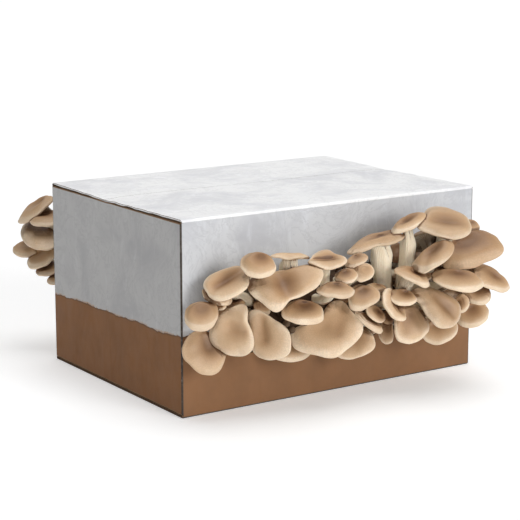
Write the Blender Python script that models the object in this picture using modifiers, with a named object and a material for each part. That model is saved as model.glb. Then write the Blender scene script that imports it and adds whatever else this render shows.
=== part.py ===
"""Oyster mushroom grow kit: a glued carton with a block of substrate inside it, and a
cluster of oyster mushrooms growing out of a window in each long side.

Metres, +Z up.  The carton stands on z = 0 and its middle is at x = y = 0.  The long
front side faces -Y, and the short left side faces -X.
"""

import math

import bmesh
import bpy
import numpy as np
from mathutils.bvhtree import BVHTree

MM = 0.001

# Carton: a slotted box of corrugated board, its outer flaps folded over the short ones
CARTON_LONG = 0.380
CARTON_DEEP = 0.280
CARTON_TALL = 0.205
BOARD = 0.003
SEAM_ASIDE = 0.020          # the top flaps meet this far behind the middle
SEAM_GAP = 0.0014
FOLD_RADIUS = 0.0015
SHORT_FLAP = CARTON_DEEP / 2
WINDOW_TALL = 0.078
WINDOW_MIDDLE = 0.096       # height of the windows' middle
WINDOW_ROUND = 0.018
FRONT_WINDOW = (-0.002, 0.270)   # x of its middle, and its length
BACK_WINDOW = (-0.062, 0.160)

# Substrate block and the film bag around it
BLOCK_CLEAR = 0.0025        # between the block and the board, all round
BLOCK_ROUND = 0.014
FILM = 0.0002
TOUCH = 0.0003              # gap between neighbours that touch
SLIT_EDGE = 0.006           # film left showing inside the window's edge

# Clusters
LUMP_HALF_TALL = 0.033      # half height of the grown-together foot
LUMP_REACH = 0.036          # how far the foot stands out of the carton
LUMP_CLEAR = 0.010          # from the foot's end to the window's

# Where the clusters were looked at from when their caps were placed, and the scale of that
# picture, whose pixels the columns and rows below count.  The eye looked level.
VIEW_TURN = math.radians(-33.7)
VIEW_FROM = 1.962
VIEW_AIM = (-0.0022, 0.0, 0.5278)
PICTURE_FOCAL = 1729.0      # pixels
PICTURE_MIDDLE = 260.0      # the column straight ahead of the eye
PICTURE_LEVEL = -101.5      # the row level with the eye, above the picture's top

BACK = np.array([math.sin(VIEW_TURN), -math.cos(VIEW_TURN), 0.0])
RIGHT = np.array([math.cos(VIEW_TURN), math.sin(VIEW_TURN), 0.0])
UP = np.array([0.0, 0.0, 1.0])
EYE = np.array(VIEW_AIM) + BACK * VIEW_FROM


def clear_scene():
    """Remove every object, and the collections that an earlier run left."""
    for old in list(bpy.data.objects):
        bpy.data.objects.remove(old, do_unlink=True)
    for old in list(bpy.data.collections):
        bpy.data.collections.remove(old)


clear_scene()
parts = bpy.data.collections.new("oyster_mushroom_grow_kit")
cutters = bpy.data.collections.new("cutters")
bpy.context.scene.collection.children.link(parts)
bpy.context.scene.collection.children.link(cutters)


# --- materials ------------------------------------------------------------------------

def finish(name, colour, roughness, metallic=0.0):
    """Return a plain Principled material."""
    material = bpy.data.materials.new(name)
    material.use_nodes = True
    shader = material.node_tree.nodes["Principled BSDF"]
    shader.inputs["Base Color"].default_value = (*colour, 1.0)
    shader.inputs["Roughness"].default_value = roughness
    shader.inputs["Metallic"].default_value = metallic
    return material


carton_board = finish("carton_board", (0.42, 0.36, 0.31), 0.75)
clear_film = finish("clear_film", (0.80, 0.80, 0.78), 0.25)
grown_substrate = finish("grown_substrate", (0.72, 0.64, 0.50), 0.95)
cap_skin = finish("cap_skin", (0.60, 0.40, 0.23), 0.50)
stem_flesh = finish("stem_flesh", (0.72, 0.61, 0.45), 0.70)


# --- helpers --------------------------------------------------------------------------

def add_object(name, mesh, material=None, collection=parts):
    """Link a mesh into the scene as an object of its own."""
    made = bpy.data.objects.new(name, mesh)
    collection.objects.link(made)
    if material:
        mesh.materials.clear()
        mesh.materials.append(material)
    if collection is cutters:
        made.hide_render = True
        made.display_type = "WIRE"
    return made


def box(name, size, middle, material=None, collection=parts, rounded=0.0):
    """Make a box of the given size about a middle, with rounded edges if asked."""
    work = bmesh.new()
    bmesh.ops.create_cube(work, size=1.0)
    bmesh.ops.scale(work, vec=size, verts=work.verts)
    if rounded:
        bmesh.ops.bevel(work, geom=work.edges[:], offset=rounded, segments=1, affect="EDGES")
    bmesh.ops.translate(work, vec=middle, verts=work.verts)
    mesh = bpy.data.meshes.new(name)
    work.to_mesh(mesh)
    work.free()
    return add_object(name, mesh, material, collection)


def window_cutter(name, window, y_from, y_to, smaller=0.0):
    """Make a rounded slab that cuts a window, or a smaller slit, through a long wall."""
    aside, long = window
    long -= 2 * smaller
    tall = WINDOW_TALL - 2 * smaller
    corner = WINDOW_ROUND - smaller / 2
    work = bmesh.new()
    bmesh.ops.create_cube(work, size=1.0)
    bmesh.ops.scale(work, vec=(long, y_to - y_from, tall), verts=work.verts)
    across = [edge for edge in work.edges
              if abs(edge.verts[0].co.y - edge.verts[1].co.y) > 0.5 * (y_to - y_from)]
    bmesh.ops.bevel(work, geom=across, offset=corner, segments=3, profile=0.5, affect="EDGES")
    bmesh.ops.translate(work, vec=(aside, 0.5 * (y_from + y_to), WINDOW_MIDDLE), verts=work.verts)
    mesh = bpy.data.meshes.new(name)
    work.to_mesh(mesh)
    work.free()
    return add_object(name, mesh, collection=cutters)


def cut(target, cutter, folded=False, solver="EXACT"):
    """Cut one object out of another with a Boolean; folded pieces cross themselves."""
    modifier = target.modifiers.new("cut_" + cutter.name, "BOOLEAN")
    modifier.operation = "DIFFERENCE"
    modifier.solver = solver
    if solver == "EXACT":
        modifier.use_self = folded
    modifier.object = cutter


def settle(target):
    """Replace an object's mesh by its evaluated mesh, without modifiers."""
    graph = bpy.context.evaluated_depsgraph_get()
    graph.update()
    mesh = bpy.data.meshes.new_from_object(target.evaluated_get(graph))
    target.modifiers.clear()
    target.data = mesh
    return target


# --- carton ---------------------------------------------------------------------------

def make_carton():
    """One folded blank: four walls, short flaps under long flaps, two windows."""
    carton = box("carton", (CARTON_LONG, CARTON_DEEP, CARTON_TALL), (0, 0, CARTON_TALL / 2),
                 carton_board, rounded=FOLD_RADIUS)
    room_long = CARTON_LONG - 2 * BOARD
    room_deep = CARTON_DEEP - 2 * BOARD
    middle = (0, 0, CARTON_TALL / 2)
    between_flaps = room_long - 2 * (SHORT_FLAP - BOARD)
    cut(carton, box("room", (room_long, room_deep, CARTON_TALL - 4 * BOARD), middle,
                    collection=cutters))
    cut(carton, box("room_between_short_flaps", (between_flaps, room_deep, CARTON_TALL - 2 * BOARD),
                    middle, collection=cutters))
    cut(carton, box("top_seam", (CARTON_LONG * 1.1, SEAM_GAP, 2 * BOARD),
                    (0, SEAM_ASIDE, CARTON_TALL), collection=cutters))
    half = CARTON_DEEP / 2
    cut(carton, window_cutter("front_window", FRONT_WINDOW, -half - BOARD, -half + 2 * BOARD))
    cut(carton, window_cutter("back_window", BACK_WINDOW, half - 2 * BOARD, half + BOARD))
    return carton


def make_block_and_film():
    """Build the substrate block, and the film bag slit open behind each window.

    Returns the film and half the block's depth.
    """
    around = BOARD + BLOCK_CLEAR
    film_size = (CARTON_LONG - 2 * around, CARTON_DEEP - 2 * around,
                 CARTON_TALL - 2 * (around + BOARD))
    middle = (0, 0, CARTON_TALL / 2)
    skin = FILM + TOUCH
    block_size = tuple(side - 2 * skin for side in film_size)
    box("substrate_block", block_size, middle, grown_substrate, rounded=BLOCK_ROUND)
    film = box("film_bag", film_size, middle, clear_film, rounded=BLOCK_ROUND + skin)
    inside = tuple(side - 2 * FILM for side in film_size)
    cut(film, box("inside_of_film", inside, middle, collection=cutters,
                  rounded=BLOCK_ROUND + TOUCH))
    half = film_size[1] / 2
    cut(film, window_cutter("front_slit", FRONT_WINDOW, -half - BOARD, -half + BOARD, SLIT_EDGE))
    cut(film, window_cutter("back_slit", BACK_WINDOW, half - BOARD, half + BOARD, SLIT_EDGE))
    return film, block_size[1] / 2


# --- clusters -------------------------------------------------------------------------

def foot_surface_noise(direction):
    """Return the lumpiness of a cluster's foot in one direction, about 1."""
    x, y, z = direction
    return 1 + 0.07 * math.sin(5.1 * x + 2.3 * z) + 0.05 * math.sin(7.3 * z - 3.1 * x + 1.0)


def make_foot(name, side, aside, long, block_half):
    """The grown-together foot of a cluster: a long lump that fills the window.

    side is -1 for the front cluster and +1 for the back one.
    """
    work = bmesh.new()
    bmesh.ops.create_icosphere(work, subdivisions=2, radius=1.0)
    root = block_half + TOUCH
    face = CARTON_DEEP / 2
    for vert in work.verts:
        lump = foot_surface_noise(vert.co)
        out = vert.co.y
        x = vert.co.x * long * lump
        z = vert.co.z * LUMP_HALF_TALL * lump
        if out < 0:
            y = root + (face - root) * (1 + out)
        else:
            y = face + out * LUMP_REACH * lump
        vert.co = (aside + x, side * y, WINDOW_MIDDLE + z)
    if side < 0:
        bmesh.ops.reverse_faces(work, faces=work.faces[:])
    mesh = bpy.data.meshes.new(name)
    work.to_mesh(mesh)
    work.free()
    return add_object(name, mesh, stem_flesh)


def seen_at(column, row, reach, side):
    """Return the point seen at a place of the picture, reach mm out of the carton."""
    ray = RIGHT * (column - PICTURE_MIDDLE) - UP * (row - PICTURE_LEVEL) - BACK * PICTURE_FOCAL
    plane = side * (CARTON_DEEP / 2 + reach * MM)
    return EYE + ray * ((plane - EYE[1]) / ray[1])


def picture_scale(point):
    """Return the metres that one pixel spans at a point."""
    return float((EYE - point) @ BACK) / PICTURE_FOCAL


# --- mushrooms ------------------------------------------------------------------------

# Each mushroom is turned as a blank, station by station from the crown over the margin
# and the gills down to the foot, and the blank is then shaped.
TOP_RINGS = (0.45, 0.85)
MARGIN_RING = 1.0
GILL_RING = 0.72
STEM_RING = 0.2
STATION = 0.1               # height of one station of the blank
GILLS_AT = len(TOP_RINGS) + 2
STEM_FROM = GILLS_AT + 1
SEGMENTS = ((0.0145, 8), (0.022, 9), (0.033, 10), (1.0, 12))    # by the cap's half width
THICKEST_STEM = 0.42        # share of the cap's smaller half size
THICKEST_RIM = 0.22         # likewise
THROAT_SHARE = 0.5          # most that the stem's top takes of the way to the margin
LONG_STEM = 0.045           # a stem this long has a ring more

# The cap's profile, by the share of the way from the stem to the margin
CROWN_POWER = 3.2
HOLLOW_SHARE = 0.42
CURL_FROM = 0.6
CURL_POWER = 2.4
BEND_LEVEL = 0.3            # keeps a folded cap's middle height
FLESH_AT_RIM = 0.9          # of the margin's thickness
FLESH_AT_STEM = 1.2         # and so much more
STEM_BELOW = 2.6            # depth of the stem's top below the crown, likewise

# The stem, from the cap to the foot lump
STEM_PULL = 0.45            # how far it keeps the cap's direction, over its span
FOOT_PULL = 0.25            # how far it keeps its end's direction, likewise
STEM_TAPER = 0.1
THROAT_FLARE = 1.25         # the stem's top, over its radius
STEM_TIP = 0.3              # length of its rounded end, over its radius
FOOT_ALONG = (0.8, 0.9)     # share of the cap's place along the lump, and the most of its length
FOOT_RISE = (0.4, 0.7)      # likewise for its height
FOOT_OUT = (0.25, 0.3)      # likewise for its reach

# The cap's outline
OUTLINE_STEPS = 96
ROUND_WAVES = 1.8           # waves that the rounder outline near the stem keeps
OUTLINE_POWER = 2.5         # how late the margin's own outline sets in
LEAST_MARGIN = 0.55
CURL_RISE = 0.9             # how far a drooping margin raises the crown above it
DOME_SHOWS = 0.64           # share of the crown's height that hides what is behind it
FLATTEST = 0.30             # least height over width of an outline that sets a cap's lean
ROUNDEST = 0.92
EDGE_ON = 0.25              # least share of its depth that a cap shows
SQUARE_TO_SIGHT = 0.3       # a cap turned further away keeps its own axis

DEFAULT_SHAPE = {
    "aside": 0.45,          # the stem's place, as a share of the way to the cap's edge
    "turn": 90.0,           # the direction of that place, in degrees about the cap
    "crown": 0.16,          # height of the dome over half the cap's width
    "dip": 0.16,            # depth of the hollow over the stem, likewise
    "curl": 0.14,           # droop of the margin, likewise
    "bend": 0.0,            # fold of the cap about its long way, likewise
    "lobes": (),            # (how many, how deep, where) for each wave of the outline
    "edge": (),             # columns and rows that an uneven outline goes through
    "thick": 4.2,           # mm at the margin
    "stem": 6.5,            # mm, radius
    "flare": 0.0,           # how much wider the stem's top is than its foot
    "lean": None,           # degrees between the cap's axis and the line of sight
    "outward": 0.45,        # how far the cap's axis is turned straight out of the carton
    "foot": None,           # column, row and reach of the stem's foot
    "deep": None,           # half depth, where the picture can't give it
    "picture": None,        # column, row, half width, half height and slant of the cap
}


def ring_profile(stem_rings):
    """Return the blank's profile as (radius, height), top to bottom."""
    radii = [0.0, *TOP_RINGS, MARGIN_RING, GILL_RING, *[STEM_RING] * stem_rings, 0.0]
    return [(radius, -STATION * place) for place, radius in enumerate(radii)]


def turned_blank(name, profile, segments):
    """Turn a profile about Z with a Screw modifier and return the closed mesh."""
    outline = bpy.data.meshes.new(name)
    edges = [(place, place + 1) for place in range(len(profile) - 1)]
    outline.from_pydata([(radius, 0.0, height) for radius, height in profile], edges, [])
    blank = add_object(name, outline)
    screw = blank.modifiers.new("turn", "SCREW")
    screw.steps = segments
    screw.render_steps = segments
    screw.use_merge_vertices = True
    screw.merge_threshold = 0.0001
    return settle(blank)


def unit(vector):
    """Return a vector's direction."""
    return vector / np.linalg.norm(vector)


def on_cap(points, column, row, wide, tall, slant):
    """Return places of the picture as shares of the way from a cap's middle to its edge."""
    turn = math.radians(slant)
    right = np.array([point[0] - column for point in points])
    up = np.array([row - point[1] for point in points])
    return ((right * math.cos(turn) + up * math.sin(turn)) / wide,
            (up * math.cos(turn) - right * math.sin(turn)) / tall)


def smooth_round(swell, waves):
    """Keep the waves of a closed curve that are longer than a turn / waves."""
    heights = np.fft.rfft(swell)
    return np.fft.irfft(heights * np.exp(-(np.arange(len(heights)) / waves) ** 2), len(swell))


def outline_swell(angle, shape, place, axes, size, waves):
    """Return how far the cap's outline lies beyond its oval at each angle.

    The second result is a rounder outline, from which the first one grows.
    """
    full_turn = 2 * math.pi
    around = np.arange(OUTLINE_STEPS) * full_turn / OUTLINE_STEPS
    swell = np.ones(OUTLINE_STEPS)
    if shape["edge"]:
        first, second = on_cap(shape["edge"], *shape["picture"])
        swell = np.interp(around, np.arctan2(second, first), np.hypot(first, second),
                          period=full_turn)
    for count, depth, where in shape["lobes"]:
        swell = swell + depth * np.cos(count * (around - math.radians(where)))
    if shape["picture"]:
        swell = swell * (1 - hidden_margin(around, swell, shape, place, axes, size))
    return [np.interp(angle, around, smooth_round(swell, kept), period=full_turn)
            for kept in (waves, ROUND_WAVES)]


def hidden_margin(around, swell, shape, place, axes, size):
    """Return the share of the way to the outline that the crown hides at each angle."""
    across, along, normal = axes
    sight = unit(EYE - place)
    rim = ((size[0] * np.cos(around) * swell)[:, None] * across
           + (size[1] * np.sin(around) * swell)[:, None] * along)
    rim = rim - (rim @ sight)[:, None] * sight
    dome = max(0.0, shape["crown"] + CURL_RISE * shape["curl"])
    raised = DOME_SHOWS * dome * 0.5 * (size[0] + size[1])
    hidden = raised * np.maximum(rim @ normal, 0.0) / (rim * rim).sum(1)
    return np.clip(hidden, 0.0, 1 - LEAST_MARGIN)


def crown_height(share, plan, size, shape):
    """Return the height of the cap's upper side; share is 0 over the stem, 1 at the margin."""
    drooping = np.clip((share - CURL_FROM) / (1 - CURL_FROM), 0, 1)
    height = shape["crown"] * (1 - share ** CROWN_POWER)
    height -= shape["dip"] * np.exp(-(share / HOLLOW_SHARE) ** 2)
    height += shape["curl"] * (1 - drooping ** CURL_POWER)
    height += shape["bend"] * ((plan[:, 0] / size[0]) ** 2 - BEND_LEVEL)
    return height * 0.5 * (size[0] + size[1])


def stem_path(start, down, foot, count):
    """Return count points and directions from the cap down to the foot."""
    span = np.linalg.norm(foot - start)
    first = start + down * span * STEM_PULL
    steps = np.linspace(0, 1, count)[:, None]
    second = foot + (start - foot) * FOOT_PULL
    points = ((1 - steps) ** 3 * start + 3 * (1 - steps) ** 2 * steps * first
              + 3 * (1 - steps) * steps ** 2 * second + steps ** 3 * foot)
    ways = np.gradient(points, axis=0)
    return points, ways / np.linalg.norm(ways, axis=1)[:, None]


def shape_mushroom(blank, place, axes, size, foot, shape, stem_rings):
    """Move the blank's points onto the mushroom."""
    across, along, normal = axes
    points = np.array([vert.co[:] for vert in blank.data.vertices])
    station = np.rint(-points[:, 2] / STATION).astype(int)
    angle = np.arctan2(points[:, 1], points[:, 0])
    radius = np.hypot(points[:, 0], points[:, 1])
    thick = min(shape["thick"] * MM, THICKEST_RIM * min(size))
    stem_radius = min(shape["stem"] * MM, THICKEST_STEM * min(size))
    turn = math.radians(shape["turn"])
    middle = shape["aside"] * np.array([size[0] * math.cos(turn), size[1] * math.sin(turn)])

    share = np.where(station < STEM_FROM, radius, STEM_RING)
    waves = segments_of(size) / 2
    outer, rounder = outline_swell(angle, shape, place, axes, size, waves)
    swell = rounder + (outer - rounder) * share ** OUTLINE_POWER
    rim = np.stack([size[0] * np.cos(angle) * swell, size[1] * np.sin(angle) * swell], -1)
    plan = middle * (1 - share)[:, None] + rim * share[:, None]
    height = crown_height(share, plan, size, shape)
    height[station < GILLS_AT - 1] += 0.5 * thick
    flesh = thick * (FLESH_AT_RIM + FLESH_AT_STEM * (1 - share))
    height = np.where(station == GILLS_AT, height + 0.5 * thick - flesh, height)
    spots = place + plan[:, :1] * across + plan[:, 1:] * along + height[:, None] * normal

    throat = crown_height(np.zeros(1), middle[None], size, shape)[0]
    start = (place + middle[0] * across + middle[1] * along
             + (throat - STEM_BELOW * thick) * normal)
    path, ways = stem_path(start, unit(unit(foot - start) - normal), foot, stem_rings)
    for ring in range(stem_rings):
        on_ring = station == STEM_FROM + ring
        first = unit(across - ways[ring] * (across @ ways[ring]))
        second = np.cross(first, ways[ring])
        way_down = ring / stem_rings
        grown = stem_radius * (1.0 - STEM_TAPER * way_down + shape["flare"] * (1 - way_down) ** 2)
        spots[on_ring] = (path[ring] + grown * (np.cos(angle[on_ring])[:, None] * first
                                                + np.sin(angle[on_ring])[:, None] * second))
    throat_ring = station == STEM_FROM
    spokes = rim[throat_ring] - middle
    lengths = np.linalg.norm(spokes, axis=1)[:, None]
    spokes *= np.minimum(THROAT_FLARE * stem_radius, THROAT_SHARE * lengths) / lengths
    spots[throat_ring] = start + spokes[:, :1] * across + spokes[:, 1:] * along
    spots[station == STEM_FROM + stem_rings] = path[-1] + ways[-1] * STEM_TIP * stem_radius
    for vert, spot in zip(blank.data.vertices, spots):
        vert.co = spot


def segments_of(size):
    """Return how many segments a cap of this size has."""
    return next(count for limit, count in SEGMENTS if size[0] <= limit)


def make_mushroom(name, place, axes, size, foot, shape):
    """Build one mushroom, cap and stem in one, and return its object."""
    stem_rings = 3 if np.linalg.norm(foot - place) > LONG_STEM else 2
    blank = turned_blank(name, ring_profile(stem_rings), segments_of(size))
    shape_mushroom(blank, place, axes, size, foot, shape, stem_rings)
    blank.data.materials.append(cap_skin)
    return blank


def axes_from_picture(place, slant, lean, outward):
    """Return the axes of a cap whose outline is slanted in the picture and leans away.

    Its axis is then turned some way towards outward.  The other two keep their direction
    in the picture, so they are not quite square to each other.
    """
    turn = math.radians(slant)
    tip = math.radians(lean)
    sight = unit(EYE - place)
    across = RIGHT * math.cos(turn) + UP * math.sin(turn)
    across = unit(across - sight * (across @ sight))
    rise = np.cross(sight, across)
    normal = sight * math.cos(tip) + rise * math.sin(tip)
    along = rise * math.cos(tip) - sight * math.sin(tip)
    turned = unit(normal + outward)
    if sight @ turned > SQUARE_TO_SIGHT:
        across -= sight * ((across @ turned) / (sight @ turned))
        along -= sight * ((along @ turned) / (sight @ turned))
        normal = turned
    return across, along, normal


def foot_point(place, side, aside, long):
    """Return a point just inside the foot lump towards which a stem grows."""
    along, most_along = FOOT_ALONG
    rise, most_rise = FOOT_RISE
    out, most_out = FOOT_OUT
    x = float(np.clip((place[0] - aside) * along, -most_along * long, most_along * long))
    z = float(np.clip((place[2] - WINDOW_MIDDLE) * rise,
                      -most_rise * LUMP_HALF_TALL, most_rise * LUMP_HALF_TALL))
    reach = min(most_out * LUMP_REACH, out * (side * place[1] - CARTON_DEEP / 2))
    return np.array([aside + x, side * (CARTON_DEEP / 2 + reach), WINDOW_MIDDLE + z])


def seen_mushroom(name, side, lump, column, row, wide, tall, slant, reach, changes):
    """Build a mushroom whose cap is seen at a column and row of the picture.

    wide and tall are the half width and half height of its outline there, in pixels,
    slant is how far the outline's long way rises to the right, in degrees, and reach is
    how far its middle stands out of the carton, in mm.
    """
    shape = {**DEFAULT_SHAPE, "picture": (column, row, wide, tall, slant), **changes}
    place = seen_at(column, row, reach, side)
    scale = picture_scale(place)
    lean = shape["lean"]
    if lean is None:
        lean = math.degrees(math.acos(min(max(tall / wide, FLATTEST), ROUNDEST)))
    axes = axes_from_picture(place, slant, lean, shape["outward"] * np.array([0.0, side, 0.0]))
    deep = shape["deep"] or tall * scale / max(math.cos(math.radians(lean)), EDGE_ON)
    foot = seen_at(*shape["foot"], side) if shape["foot"] else foot_point(place, side, *lump)
    return make_mushroom(name, place, axes, (wide * scale, deep), foot, shape)


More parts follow.
